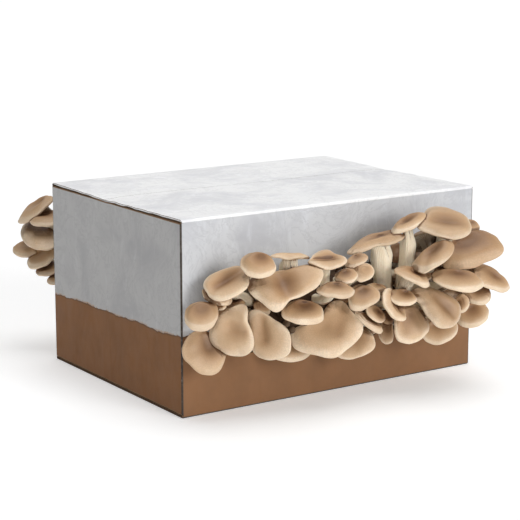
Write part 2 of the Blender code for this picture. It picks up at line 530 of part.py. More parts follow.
# The caps of the front cluster: column, row, wide, tall, slant and reach, then whatever
# differs from DEFAULT_SHAPE.  They run from the lower left to the upper right.  An edge
# lists columns and rows on the cap's outline, clockwise.
FRONT_CAPS = {
    "lower_left_lobed": (204.5, 354, 22.5, 19.5, -40, 26, {
        "edge": ((190, 336), (206, 333), (214, 337), (222, 344), (226, 353), (224, 361),
                 (221, 368), (217, 373), (210, 376), (203, 375.5), (197, 372), (191, 366),
                 (185, 359), (183, 353), (183.5, 347), (186, 341)),
        "dip": 0.06}),
    "far_left_round": (201.5, 317, 16.5, 14, 5, 30, {
        "edge": ((193, 305), (200, 303.3), (208, 303), (214, 304.5), (217.5, 310), (217, 318),
                 (214, 325), (209, 329), (203, 331), (196, 330.5), (190, 327), (186.5, 321),
                 (186, 315), (188, 309)),
        "crown": 0.24, "aside": 0.5, "dip": 0.06}),
    "left_horned": (231.5, 333, 24, 21.5, 90, 37, {
        "edge": ((224, 308.5), (231, 308.5), (237, 305.5), (243, 304.5), (248, 309), (247, 316),
                 (249, 326), (252.5, 335), (253.5, 343), (252, 350), (248, 354.5), (240, 356),
                 (228, 354), (221, 350), (214, 345), (210, 340), (209, 334), (212, 327),
                 (217, 320), (218, 312.5)),
        "aside": 0.2, "turn": -80, "dip": 0.14}),
    "left_rolled": (269.5, 335.5, 25.2, 21.5, 88, 46, {
        "edge": ((253, 310.3), (258, 310), (262, 313), (268, 316), (275, 321), (283, 325.5),
                 (288, 330), (290, 337), (290.5, 345), (290, 351), (287, 356), (280, 358.5),
                 (272, 359.5), (262, 358), (256, 355), (253, 350), (253.5, 343), (253, 336),
                 (251, 329), (248, 323), (246.8, 318), (248, 313)),
        "dip": 0.06}),
    "low_strip": (290, 351, 23, 12.5, 0, 24, {"lean": 20, "stem": 4.5}),
    "upper_left_funnel": (227, 283.5, 25, 12.5, 26, 34, {
        "edge": ((207, 278), (212, 275), (220, 272), (230, 268.5), (240, 266), (245, 268),
                 (248.5, 273), (249, 280), (247, 288), (240, 293), (232, 297.5), (225, 299.5),
                 (216, 299), (209, 293), (205.5, 287), (205, 282)),
        "crown": -0.02, "dip": 0.04, "aside": 0.25}),
    "under_left_sliver": (217, 296, 14.5, 9, -15, 24, {
        "edge": ((203, 293), (206, 288), (214, 286), (224, 290), (230, 296), (231, 303),
                 (226, 305.5), (219, 305), (212, 302.5), (206, 298.5)),
        "stem": 3.5, "lean": 35}),
    "top_left_convex": (258, 265, 17, 12, -10, 52, {"crown": 0.34, "curl": 0.22, "dip": 0.05}),
    "middle_saddle": (287, 285.5, 36, 22, 10, 60, {
        "edge": ((253, 276.5), (263, 275.5), (274, 272), (287, 270), (299, 266), (310, 265),
                 (320, 267), (323.5, 273), (321, 281), (315, 288.5), (305, 293.5), (297, 297),
                 (289.5, 299), (285.5, 303), (283.5, 309), (279, 312.5), (273, 311),
                 (266, 306.5), (258, 299.5), (250, 293), (248.5, 284)),
        "aside": 0.15, "dip": 0.05, "bend": 0.05}),
    "edge_on_top": (290, 257, 18, 4, -4, 46, {
        "lean": 86, "deep": 0.019, "aside": 0.1, "foot": (292, 284, 20), "stem": 8.0}),
    "top_funnel": (327, 259.5, 19.5, 8.5, -2, 60, {
        "edge": ((308, 262), (311, 258), (314, 254), (318, 251.5), (323, 250), (328, 250),
                 (332, 253), (336, 255.5), (342, 256), (346, 260), (344, 263), (338, 266),
                 (330, 268), (322, 267.5), (314, 265)),
        "crown": -0.04, "dip": 0.04, "aside": 0.2, "foot": (325, 288, 25), "stem": 6.0}),
    "middle_oval": (345.5, 276, 11, 7.5, 8, 66, {"stem": 4.5}),
    "curled_pale": (363, 272, 10.5, 8.5, -20, 56, {
        "edge": ((353, 266), (360, 264.5), (366, 263), (371, 267), (373, 272), (370, 277),
                 (365, 280), (359, 281), (354, 276)),
        "stem": 5.5}),
    "small_over_pale": (356, 260, 11.5, 6.5, 22, 60, {
        "edge": ((345, 266), (347, 260), (351, 256), (358, 253.5), (364, 254), (367, 257),
                 (364, 261), (357, 264.5), (350, 267)),
        "stem": 4.5}),
    "long_side_view": (375, 243, 28.5, 6.5, 17, 48, {
        "edge": ((347, 254), (350, 249), (356, 244), (362, 240), (368, 237), (375, 235),
                 (384, 233.5), (393, 233), (400, 235), (401, 239), (396, 241.5), (385, 243.5),
                 (375, 246.5), (365, 250), (356, 253.5)),
        "lean": 74, "deep": 0.023, "aside": 0.2, "crown": 0.22, "curl": 0.16, "turn": 0,
        "foot": (382, 284, 30), "stem": 9.0, "flare": 0.45}),
    "high_slanted": (406.3, 223.7, 18.7, 6.5, 27, 60, {
        "lean": 74, "deep": 0.023, "crown": 0.22, "aside": 0.1, "turn": 0,
        "foot": (401, 284, 38), "stem": 9.5}),
    "top_right_large": (443, 224, 27, 14.5, -8, 72, {
        "edge": ((423, 217), (425, 212), (430, 209), (437, 208), (444, 208), (451, 210),
                 (458, 213.5), (463, 217), (467, 222), (468.5, 227), (467, 232), (463, 236),
                 (457, 238), (450, 239), (443, 238.5), (435, 236.5), (427, 233), (420, 230.5),
                 (416, 229), (418, 225), (422, 221)),
        "crown": 0.16, "dip": 0.04, "aside": 0.15, "turn": -60, "foot": (440, 290, 25)}),
    "gilled_behind": (425, 240, 18, 13, 20, 46, {
        "lean": 122, "deep": 0.019, "outward": 0.0, "aside": 0.2, "turn": -90,
        "foot": (425, 285, 20), "stem": 7.0}),
    "far_top_sliver": (468, 225, 9, 6, -20, 50, {"stem": 4.0}),
    "right_large": (470, 250.5, 32, 18, 13, 66, {
        "edge": ((450, 243), (456, 238), (462, 234.5), (468, 231.5), (474, 230), (481, 230.5),
                 (488, 233), (494, 238), (499, 243.5), (503, 250), (500, 254.5), (494, 257.5),
                 (487, 260), (480, 263), (474, 265.5), (467, 268), (460, 269.5), (452, 270.5),
                 (445, 269), (441, 264), (445, 256), (447, 249)),
        "aside": 0.6, "turn": 130}),
    "right_slanted": (432, 257.5, 23, 9.5, 38, 84, {
        "edge": ((440, 241.5), (446, 241.5), (451, 245), (452, 250), (449, 256), (444, 262),
                 (437, 267), (430, 272), (423, 274), (417, 271.5), (412, 267), (411, 262),
                 (414, 257.5), (420, 253.5), (426, 249.5), (433, 245)),
        "aside": 0.5, "turn": 60}),
    "curled_rim": (411, 277, 18.5, 6.5, -27, 78, {
        "edge": ((396, 268), (400, 266.5), (406, 266.8), (412, 269.5), (419, 274), (424, 279),
                 (427, 284), (425, 287), (420, 286), (413, 282.5), (406, 278.5), (400, 275),
                 (395, 272)),
        "stem": 7.5, "foot": (402, 292, 40)}),
    "right_wide": (456.5, 281, 26.5, 10.3, -8, 92, {
        "edge": ((431, 275), (436, 271.5), (444, 270.5), (453, 271.5), (463, 272), (472, 274),
                 (478, 277.5), (482, 283), (481, 288), (476, 290.5), (468, 291.5), (460, 291.5),
                 (450, 289.5), (441, 286), (434, 281.5)),
        "crown": 0.1, "aside": 0.6, "dip": 0.1}),
    "far_right": (492.5, 279.3, 18.5, 8.5, -40, 78, {
        "edge": ((482, 267), (484, 264.5), (490, 269), (497, 274), (503, 280), (506.5, 286),
                 (505, 290.5), (499, 291), (493, 289), (487, 285.5), (481, 281), (479, 274)),
        "crown": 0.20, "aside": 0.25, "stem": 5.0}),
    "right_edge_oval": (476, 295.5, 14, 10, 5, 74, {
        "edge": ((464, 289), (472, 286), (480, 286), (486, 288), (489, 293), (489, 299),
                 (485, 303.5), (479, 304.5), (472, 303), (466, 299), (462, 294))}),
    "right_inner": (461.2, 303.6, 9, 7.5, 80, 74, {"stem": 4.5}),
    "right_edge_low": (472.5, 315.5, 15.5, 12.5, 10, 56, {
        "edge": ((470, 304.5), (477, 303), (483, 304), (486.5, 308.5), (488, 315), (485.5, 321),
                 (480, 325.5), (473, 328), (465, 327.5), (459, 324), (456.5, 318), (459, 312),
                 (464, 307)),
        "aside": 0.5}),
    "right_folded": (436, 307.5, 28, 18, -40, 78, {
        "edge": ((410, 293), (413, 288.5), (418, 286.5), (423, 287.5), (430, 289), (438, 291.5),
                 (446, 294), (453, 297), (457, 302), (459.5, 309), (460, 316), (457.5, 321.5),
                 (453, 325), (446, 328), (439, 328), (433, 326), (429, 320), (425, 314),
                 (420, 306), (416, 300), (411, 297)),
        "aside": 0.22, "turn": 10, "bend": -0.12, "dip": 0.05}),
    "right_low": (440, 331, 18, 13.5, 20, 52, {"aside": 0.6, "lean": 25}),
    "right_low_tall": (411.5, 325, 19.5, 17, -60, 62, {
        "edge": ((400, 308), (405, 306), (412, 305), (417, 307.5), (421, 313), (425, 319),
                 (428.5, 326), (427, 332), (423, 337), (418, 341), (411, 344), (404, 343.5),
                 (398, 340.5), (395.5, 335), (395, 325), (396, 315)),
        "aside": 0.5, "turn": 165, "dip": 0.06}),
    "right_middle_oval": (403.5, 297.5, 13, 7.8, -12, 72, {
        "edge": ((391, 292), (396, 290), (402, 290), (408, 292.5), (414, 297), (415.5, 301),
                 (411, 304), (403, 305.3), (396, 304), (391, 300)),
        "stem": 4.5}),
    "crescent": (392, 305, 17.5, 7.5, -58, 66, {
        "edge": ((388, 290), (393, 292), (397, 298), (399, 306), (401.5, 313), (402.5, 318.5),
                 (401, 321), (396, 320.5), (390, 316), (386, 310), (383, 304), (381, 298),
                 (382, 292)),
        "bend": 0.15, "stem": 4.5, "dip": 0.05}),
    "small_tongue": (375, 314, 11, 6.2, -42, 52, {"stem": 4.0}),
    "pale_rim": (368, 323, 16.5, 5, -38, 46, {"stem": 4.0}),
    "low_tongue": (386.5, 332.5, 7, 12.5, 0, 38, {
        "edge": ((380, 322), (386, 319), (392, 322), (393, 332), (393, 341), (389, 344.5),
                 (383, 343), (379, 337), (379, 328)),
        "stem": 3.5, "lean": 20, "aside": 0.3, "dip": 0.05}),
    "middle_round": (364, 298, 16, 12.3, 15, 62, {
        "edge": ((350, 291), (355, 286.5), (362, 285.5), (370, 287), (376, 290), (379, 296),
                 (377, 301), (371, 305), (365, 308), (358, 310.5), (352, 310), (349.5, 304),
                 (349, 297)),
        "aside": 0.6}),
    "flat_oval": (335, 290.5, 18, 6.8, -4, 70, {
        "edge": ((317, 291), (321, 286.5), (327, 284), (334, 284), (343, 286), (350, 288),
                 (353, 292), (350, 296), (342, 297.5), (333, 297), (324, 295)),
        "stem": 5.0}),
    "hidden_sliver": (376, 288.5, 11.5, 4.2, -12, 46, {
        "edge": ((365, 287), (371, 284.5), (378, 285), (385, 288), (386, 291.5), (380, 292.5),
                 (372, 291)),
        "stem": 4.0}),
    "middle_low": (303, 313, 20.5, 11.5, -8, 60, {
        "edge": ((282, 314), (285, 308), (291, 303.5), (299, 301.5), (306, 302), (313, 304),
                 (319, 307), (322, 312), (322.5, 318), (320, 322), (313, 324.3), (304, 324.8),
                 (296, 323.5), (289, 320.5), (283, 317.5)),
        "aside": 0.6}),
    "bottom_large": (328.5, 331.5, 35, 28, 8, 50, {
        "edge": ((292, 332), (297, 328), (305, 326.5), (314, 325.5), (321, 322), (323.5, 314),
                 (327, 306), (331, 302), (337, 300.5), (343, 301.5), (348, 305), (351, 311),
                 (356, 315.5), (360, 321), (363, 327), (363, 332.5), (360, 338), (355, 343),
                 (349, 348), (343, 352.5), (337, 357), (331, 358.5), (323, 358), (316, 355.5),
                 (308, 354), (300, 352.5), (295, 349), (293, 343)),
        "aside": 0.1, "turn": 160, "dip": 0.08, "lean": 42}),
    "behind_bottom": (357, 343, 20, 15, 28, 34, {
        "edge": ((337, 350), (340, 341), (347, 334), (355, 329), (362, 328), (368, 331),
                 (372, 336), (375, 343), (374, 349), (370, 353), (362, 357), (353, 359.5),
                 (345, 359.5), (338, 358)),
        "lean": 22, "stem": 5.0, "dip": 0.08}),
}

# The caps of the back cluster that show past the left side, placed in the same way; the
# reach is out of the back.
BACK_CAPS_SEEN = {
    "high": (38, 209.5, 20.5, 5, 37, 74, {"aside": 0.5, "turn": 0, "stem": 5.0}),
    "under_high": (50, 219, 17, 6, 8, 52, {"stem": 5.0}),
    "large": (42, 235, 19, 14, -12, 66, {"crown": 0.26, "turn": 30, "stem": 5.0}),
    "leftmost": (29, 249, 14, 7, 6, 88, {"stem": 5.0}),
    "slanted": (43, 258, 15, 8, 30, 64, {"stem": 5.0}),
    "low": (49, 269, 12, 6, 15, 56, {"stem": 4.5}),
    "lowest": (56, 279, 9, 5, 20, 40, {"stem": 4.0}),
}

# The rest of the back cluster, hidden in that view: x and z of the cap's middle and its
# reach, the half width and depth of the cap, all in mm, the heading of its axis from
# straight out and the rise of its axis, in degrees, and the changes.
BACK_CAPS_HIDDEN = {
    "wide": (-70, 128, 66, 32, 27, 10, 62, {"lobes": ((3, 0.06, 40),)}),
    "front": (-95, 92, 72, 27, 24, 25, 48, {"lobes": ((2, 0.06, 20),)}),
    "middle": (-24, 103, 60, 29, 26, -14, 52, {"lobes": ((3, 0.07, 90),)}),
    "hanging": (-62, 66, 50, 31, 27, 8, 32, {"lobes": ((2, 0.07, 45),)}),
    "small_over": (-30, 142, 44, 18, 15, -20, 66, {}),
    "right_round": (22, 82, 46, 24, 21, -24, 42, {"lobes": ((3, 0.05, 10),)}),
    "right_small": (24, 120, 38, 17, 15, -28, 60, {}),
}

FRONT_LUMP = (FRONT_WINDOW[0], FRONT_WINDOW[1] / 2 - LUMP_CLEAR)
BACK_LUMP = (BACK_WINDOW[0], BACK_WINDOW[1] / 2 - LUMP_CLEAR)


def hidden_mushroom(name, side, lump, x, z, reach, wide, deep, heading, rise, changes):
    """Build a mushroom of the back cluster from real places and sizes."""
    shape = {**DEFAULT_SHAPE, "turn": -90.0, **changes}
    place = np.array([x * MM, side * (CARTON_DEEP / 2 + reach * MM), z * MM])
    turn = math.radians(heading)
    tip = math.radians(rise)
    out = np.array([-side * math.sin(turn), side * math.cos(turn), 0.0])
    normal = out * math.cos(tip) + np.array([0, 0, math.sin(tip)])
    down = out * math.sin(tip) - np.array([0, 0, math.cos(tip)])
    axes = (np.cross(down, normal), down, normal)
    return make_mushroom(name, place, axes, (wide * MM, deep * MM),
                         foot_point(place, side, *lump), shape)


# --- fitting neighbours together ------------------------------------------------------

# Widths of the room, in touch gaps, merge distances and solvers, in the order they are tried
CUT_TRIES = ((1.5, 2e-5, "EXACT"), (1.5, 2e-6, "EXACT"), (1.5, 2e-6, "MANIFOLD"),
             (2.3, 2e-5, "EXACT"), (2.3, 2e-6, "MANIFOLD"), (3.1, 2e-6, "EXACT"),
             (3.1, 1e-5, "MANIFOLD"), (4.3, 1e-5, "EXACT"), (4.3, 1e-5, "MANIFOLD"))
LEAST_LEFT = 0.4            # share of a piece that a sound cut leaves
MOST_LEFT = 1.02


def tree_of(mesh):
    """Return a search tree of a mesh's faces."""
    work = bmesh.new()
    work.from_mesh(mesh)
    tree = BVHTree.FromBMesh(work)
    work.free()
    return tree


def swollen(name, mesh, by):
    """Return a cutter: the mesh moved out along its normals, so that a gap is left."""
    work = bmesh.new()
    work.from_mesh(mesh)
    bmesh.ops.triangulate(work, faces=work.faces[:])
    work.normal_update()
    moves = [vert.normal * by for vert in work.verts]
    for vert, move in zip(work.verts, moves):
        vert.co += move
    grown = bpy.data.meshes.new(name)
    work.to_mesh(grown)
    work.free()
    return add_object(name, grown, collection=cutters)


def keep_largest(target, merge):
    """Keep the largest body of a mesh and drop the slivers that a cut left."""
    work = bmesh.new()
    work.from_mesh(target.data)
    bmesh.ops.triangulate(work, faces=work.faces[:])
    bmesh.ops.remove_doubles(work, verts=work.verts, dist=merge)
    bmesh.ops.dissolve_degenerate(work, edges=work.edges, dist=merge)
    left = set(work.faces)
    bodies = []
    while left:
        body, reached = set(), [left.pop()]
        while reached:
            face = reached.pop()
            body.add(face)
            for edge in face.edges:
                for other in edge.link_faces:
                    if other in left:
                        left.remove(other)
                        reached.append(other)
        bodies.append(body)
    bodies.sort(key=lambda body: sum(face.calc_area() for face in body))
    for body in bodies[:-1]:
        bmesh.ops.delete(work, geom=list(body), context="FACES")
    work.to_mesh(target.data)
    work.free()


def trim(target, other):
    """Cut the room for a neighbour out of a piece, a little wider where a cut fails."""
    whole = target.data.copy()
    before = volume_of(whole)
    for share, merge, solver in CUT_TRIES:
        room = swollen("room_for_" + other.name, other.data, share * TOUCH)
        cut(target, room, folded=True, solver=solver)
        settle(target)
        bpy.data.objects.remove(room)
        keep_largest(target, merge)
        after = volume_of(target.data)
        sound = LEAST_LEFT * before < after < MOST_LEFT * before and is_closed(target.data)
        if sound and not tree_of(target.data).overlap(tree_of(other.data)):
            return
        target.data = whole.copy()
    raise RuntimeError("%s can't be fitted beside %s" % (target.name, other.name))


def fit_between(target, neighbours):
    """Trim a piece where it would run into pieces that are already in place."""
    own = tree_of(target.data)
    for other in neighbours:
        if own.overlap(trees[other.name]):
            trim(target, other)


def is_closed(mesh):
    """Say whether every edge of a mesh joins two faces."""
    work = bmesh.new()
    work.from_mesh(mesh)
    closed = all(edge.is_manifold for edge in work.edges) and len(work.faces) > 0
    work.free()
    return closed


def volume_of(mesh):
    """Return the volume that a closed mesh holds."""
    work = bmesh.new()
    work.from_mesh(mesh)
    volume = work.calc_volume(signed=True)
    work.free()
    return volume


trees = {}


def put_in_place(piece, neighbours):
    """Fit a piece among its neighbours, then count it as one of them."""
    fit_between(piece, neighbours)
    room = swollen("room_for_" + piece.name, piece.data, CUT_TRIES[0][0] * TOUCH)
    trees[piece.name] = tree_of(room.data)
    bpy.data.objects.remove(room)
    neighbours.append(piece)


def triangles_of(piece):
    """Return how many triangles a finished piece has."""
    return sum(len(face.vertices) - 2 for face in piece.data.polygons)


carton = settle(make_carton())
film, block_half = make_block_and_film()
settle(film)
front_foot = make_foot("front_cluster_foot", -1, *FRONT_LUMP, block_half)
back_foot = make_foot("back_cluster_foot", 1, *BACK_LUMP, block_half)

front_pieces = []
for piece in (carton, film, front_foot):
    put_in_place(piece, front_pieces)
for name, values in FRONT_CAPS.items():
    put_in_place(seen_mushroom("front_mushroom_" + name, -1, FRONT_LUMP, *values), front_pieces)

back_pieces = [carton, film]
put_in_place(back_foot, back_pieces)
for name, values in BACK_CAPS_SEEN.items():
    put_in_place(seen_mushroom("back_mushroom_" + name, 1, BACK_LUMP, *values), back_pieces)
for name, values in BACK_CAPS_HIDDEN.items():
    put_in_place(hidden_mushroom("back_mushroom_" + name, 1, BACK_LUMP, *values), back_pieces)

print("triangles in all:", sum(triangles_of(piece) for piece in parts.objects))
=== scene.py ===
import math

import bmesh
import bpy
import numpy as np
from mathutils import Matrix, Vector, noise
from mathutils.bvhtree import BVHTree


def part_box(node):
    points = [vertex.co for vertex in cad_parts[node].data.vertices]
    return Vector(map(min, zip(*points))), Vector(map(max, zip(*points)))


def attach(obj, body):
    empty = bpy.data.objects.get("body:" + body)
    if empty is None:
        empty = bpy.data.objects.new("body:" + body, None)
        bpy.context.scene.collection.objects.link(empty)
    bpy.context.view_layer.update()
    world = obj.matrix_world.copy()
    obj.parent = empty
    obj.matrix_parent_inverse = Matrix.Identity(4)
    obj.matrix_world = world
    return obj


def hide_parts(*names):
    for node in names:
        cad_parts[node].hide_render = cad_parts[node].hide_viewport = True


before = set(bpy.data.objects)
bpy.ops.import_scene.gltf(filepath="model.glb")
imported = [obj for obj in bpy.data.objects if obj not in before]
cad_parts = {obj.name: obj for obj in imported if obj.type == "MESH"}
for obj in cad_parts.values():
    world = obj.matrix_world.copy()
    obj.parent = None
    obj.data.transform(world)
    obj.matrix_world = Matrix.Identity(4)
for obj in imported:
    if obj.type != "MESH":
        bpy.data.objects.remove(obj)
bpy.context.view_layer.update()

mm = 0.001
print("frame loaded,", len(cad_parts), "nodes")


# the photograph is 520 pixels wide, and every column and row below is one of its pixels;
# its upright edges are parallel, so it was taken with a level camera and a shifted lens
photo = {
    "turn": -33.7,           # degrees round from the front, to the left
    "distance": 1.962,
    "aim": (-0.0022, 0.0, 0.5278),
    "focal": 1729.0,
    "middle": 260.0,
    "horizon": -101.5,       # the row of the camera's own level, above the picture
}
# the scene's camera tips down instead, fitted to the same places of the photograph, because
# a lens shifted so far would leave the object out of every other view
view = {
    "eye": (-1.0318, -1.5422, 0.5085),
    "turn": -33.74,
    "tip": 11.88,
    "focal": 1678.8,
    "width": 520.0,
    "sensor": 36.0,
}


def unit(vector):
    return vector / np.linalg.norm(vector)


turned = math.radians(photo["turn"])
backward = np.array([math.sin(turned), -math.cos(turned), 0.0])
rightward = np.array([math.cos(turned), math.sin(turned), 0.0])
upward = np.array([0.0, 0.0, 1.0])
eye = np.array(photo["aim"]) + backward * photo["distance"]


def addCamera():
    camera = bpy.data.objects.new("camera", bpy.data.cameras.new("camera"))
    camera.data.sensor_width = view["sensor"]
    camera.data.lens = view["focal"] * view["sensor"] / view["width"]
    camera.data.clip_end = 100.0
    camera.location = view["eye"]
    camera.rotation_euler = (math.radians(90.0 - view["tip"]), 0.0, math.radians(view["turn"]))
    bpy.context.scene.collection.objects.link(camera)
    bpy.context.scene.camera = camera


# small helpers for meshes

def addObject(name, mesh):
    made = bpy.data.objects.new(name, mesh)
    bpy.context.scene.collection.objects.link(made)
    return made


def fromWork(name, work):
    mesh = bpy.data.meshes.new(name)
    work.to_mesh(mesh)
    work.free()
    return addObject(name, mesh)


def settle(piece):
    # the evaluated mesh takes the place of the mesh and its modifiers
    graph = bpy.context.evaluated_depsgraph_get()
    graph.update()
    mesh = bpy.data.meshes.new_from_object(piece.evaluated_get(graph))
    piece.modifiers.clear()
    piece.data = mesh
    return piece


def setPoints(mesh, points):
    mesh.vertices.foreach_set("co", np.asarray(points, np.float32).ravel())
    mesh.update()


def getPoints(mesh, name="co"):
    values = np.empty(len(mesh.vertices) * 3, np.float32)
    mesh.vertices.foreach_get(name, values)
    return values.reshape(-1, 3).astype(float)


def storeFloat(mesh, name, values, domain="POINT"):
    mesh.attributes.new(name, "FLOAT", domain).data.foreach_set(
        "value", np.asarray(values, np.float32).ravel())


def storeVector(mesh, name, values):
    mesh.attributes.new(name, "FLOAT_VECTOR", "POINT").data.foreach_set(
        "vector", np.asarray(values, np.float32).ravel())


def shadeSmooth(piece, angle=None):
    piece.data.shade_smooth()
    if angle is not None:
        piece.data.set_sharp_from_angle(angle=math.radians(angle))


def standsFor(piece, node):
    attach(piece, "root")
    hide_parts(node)


# small helpers for node trees: a Value is a node's output, and sums of values make nodes

class Value:
    def __init__(self, socket):
        self.socket = socket
        self.tree = socket.id_data

    def __add__(self, other):
        return mathOf("ADD", self, other)

    def __sub__(self, other):
        return mathOf("SUBTRACT", self, other)

    def __mul__(self, other):
        return mathOf("MULTIPLY", self, other)


def setInputs(node, inputs):
    for name, value in inputs.items():
        socket = node.inputs[name]
        if isinstance(value, Value):
            node.id_data.links.new(value.socket, socket)
        else:
            opaque = socket.type == "RGBA" and len(value) == 3
            socket.default_value = (*value, 1.0) if opaque else value


def addNode(tree, kind, inputs=None, **settings):
    node = tree.nodes.new(kind)
    for key, value in settings.items():
        setattr(node, key, value)
    setInputs(node, inputs or {})
    return node


def startValue(tree, kind, output=0, inputs=None, **settings):
    return Value(addNode(tree, kind, inputs, **settings).outputs[output])


def valueOf(kind, inputs, output=0, **settings):
    # made in the tree that its inputs come from
    tree = next(value.tree for value in inputs.values() if isinstance(value, Value))
    return startValue(tree, kind, output, inputs, **settings)


def mathOf(operation, first, second=0.0, clamp=False):
    return valueOf("ShaderNodeMath", {0: first, 1: second}, operation=operation,
                   use_clamp=clamp)


def rangeOf(value, low, high, least=0.0, most=1.0):
    return valueOf("ShaderNodeMapRange", {"Value": value, "From Min": low, "From Max": high,
                                          "To Min": least, "To Max": most},
                   "Result", interpolation_type="SMOOTHSTEP")


def mixColour(factor, first, second, blend="MIX"):
    return valueOf("ShaderNodeMix", {0: factor, 6: first, 7: second}, 2, data_type="RGBA",
                   blend_type=blend)


def noiseOf(vector, scale, detail=3.0, roughness=0.5, distortion=0.0):
    return valueOf("ShaderNodeTexNoise", {"Vector": vector, "Scale": scale, "Detail": detail,
                                          "Roughness": roughness, "Distortion": distortion},
                   "Fac")


def stretched(place, scale, turn=(0.0, 0.0, 0.0)):
    return valueOf("ShaderNodeMapping", {"Vector": place, "Scale": scale, "Rotation": turn})


def attributeOf(tree, name, output="Fac"):
    return startValue(tree, "ShaderNodeAttribute", output, attribute_name=name)


def rampOf(value, stops):
    node = addNode(value.tree, "ShaderNodeValToRGB", {"Fac": value})
    elements = node.color_ramp.elements
    while len(elements) < len(stops):
        elements.new(0.5)
    for element, (place, colour) in zip(elements, stops):
        element.position = place
        element.color = (*colour, 1.0)
    return Value(node.outputs["Color"])


def dullRamp(value, low, tone):
    # from a dull shade of the tone to the tone itself
    return rampOf(value, ((low, tuple(part * 0.55 for part in tone)), (0.62, tone)))


def newMaterial(name, roughness, specular=0.5):
    material = bpy.data.materials.new(name)
    material.use_nodes = True
    tree = material.node_tree
    shader = tree.nodes["Principled BSDF"]
    setInputs(shader, {"Roughness": roughness, "Specular IOR Level": specular})
    return material, shader, startValue(tree, "ShaderNodeTexCoord", "Object")


def bumpOf(height, distance, strength=1.0):
    return valueOf("ShaderNodeBump", {"Height": height, "Distance": distance,
                                      "Strength": strength}, "Normal")


def newTree(name, inputs):
    # inputs are (name, socket type, default)
    tree = bpy.data.node_groups.new(name, "GeometryNodeTree")
    for way in ("OUTPUT", "INPUT"):
        tree.interface.new_socket("Geometry", in_out=way, socket_type="NodeSocketGeometry")
    for label, kind, default in inputs:
        socket = tree.interface.new_socket(label, in_out="INPUT", socket_type="NodeSocket" + kind)
        if default is not None:
            socket.default_value = default
    given = {socket.name: Value(socket)
             for socket in tree.nodes.new("NodeGroupInput").outputs if socket.name}
    return tree, given, tree.nodes.new("NodeGroupOutput")


def dressed(geometry, material, **chosen):
    return valueOf("GeometryNodeSetMaterial", {"Geometry": geometry, "Material": material,
                                               **chosen})


def closeTree(result, geometry, material):
    # every tree ends with its instances made real and its material set
    whole = valueOf("GeometryNodeRealizeInstances", {0: geometry})
    setInputs(result, {0: dressed(whole, material)})


def namedOf(tree, name):
    return startValue(tree, "GeometryNodeInputNamedAttribute", "Attribute", {"Name": name},
                      data_type="FLOAT")


def overHalf(value):
    return valueOf("FunctionNodeCompare", {0: value, 1: 0.5}, data_type="FLOAT",
                   operation="GREATER_THAN")


def vectorOf(x, y, z):
    return valueOf("ShaderNodeCombineXYZ", {0: x, 1: y, 2: z})


def scattered(spots, thing, turn, sizes, seed):
    # the thing on every spot, turned from the face's normal and of uneven size
    leaning = valueOf("FunctionNodeRotateRotation", {
        0: Value(spots.outputs["Rotation"]), 1: turn}, rotation_space="LOCAL")
    size = startValue(thing.tree, "FunctionNodeRandomValue", 1,
                      {2: sizes[0], 3: sizes[1], "Seed": seed}, data_type="FLOAT")
    return valueOf("GeometryNodeInstanceOnPoints", {
        "Points": Value(spots.outputs["Points"]), "Instance": thing, "Rotation": leaning,
        "Scale": size})


def growWith(piece, tree, values):
    # runs a Geometry Nodes tree on a piece and keeps its result as a plain mesh
    modifier = piece.modifiers.new(tree.name, "NODES")
    modifier.node_group = tree
    for item in tree.interface.items_tree:
        if item.in_out == "INPUT" and item.name in values:
            modifier[item.identifier] = values[item.name]
    return settle(piece)


# the room it stands in

studio = {
    "floorColour": (0.80, 0.80, 0.80),
    "floorGlow": 0.36,        # the floor is lit from below, like a light table
    "floorRadius": 60.0,
    "worldBright": 0.16,      # radiance from the bright side of the room
    "worldDim": 0.05,
    "brightWay": (0.42, -0.70, 0.58),
    "behind": 0.97,           # the plain wall that the camera sees past the floor
    # each light: the way it comes from, its width in degrees and its strength
    "key": ((0.26, -0.90, 0.30), 24.0, 1.30),
    "front": ((-0.22, -0.96, 0.06), 40.0, 0.62),
    "fill": ((-0.75, -0.55, 0.35), 60.0, 0.05),
    "top": ((0.05, -0.05, 1.0), 50.0, 1.70),
    "back": ((0.40, 0.75, 0.50), 60.0, 0.45),
}


def addSun(name, way, width, strength):
    light = bpy.data.objects.new(name, bpy.data.lights.new(name, "SUN"))
    light.data.angle = math.radians(width)
    light.data.energy = strength
    light.rotation_euler = Vector(way).to_track_quat("Z", "Y").to_euler()
    bpy.context.scene.collection.objects.link(light)


def addStudio():
    work = bmesh.new()
    bmesh.ops.create_circle(work, cap_ends=True, segments=96, radius=studio["floorRadius"])
    floor = fromWork("floor", work)
    material, shader, place = newMaterial("paleFloor", 0.9, 0.1)
    low = tuple(0.985 * part for part in studio["floorColour"])
    setInputs(shader, {
        "Base Color": rampOf(noiseOf(place, 1.5), ((0.3, low), (0.7, studio["floorColour"]))),
        "Emission Color": (1.0, 1.0, 1.0), "Emission Strength": studio["floorGlow"]})
    floor.data.materials.append(material)

    world = bpy.data.worlds.new("studioRoom")
    bpy.context.scene.world = world
    world.use_nodes = True
    way = startValue(world.node_tree, "ShaderNodeTexCoord", "Generated")
    towards = valueOf("ShaderNodeVectorMath", {0: way, 1: unit(np.array(studio["brightWay"]))},
                      "Value", operation="DOT_PRODUCT")
    glow = rangeOf(towards, -0.35, 0.85, studio["worldDim"], studio["worldBright"])
    seen = startValue(world.node_tree, "ShaderNodeLightPath", "Is Camera Ray")
    brightness = valueOf("ShaderNodeMix", {0: seen, 2: glow, 3: studio["behind"]})
    setInputs(world.node_tree.nodes["Background"], {"Color": (0.98, 0.99, 1.0),
                                                    "Strength": brightness})
    for name in ("key", "front", "fill", "top", "back"):
        addSun(name, *studio[name])
    bpy.context.scene.view_settings.view_transform = "Standard"


# carton: one folded blank of corrugated board

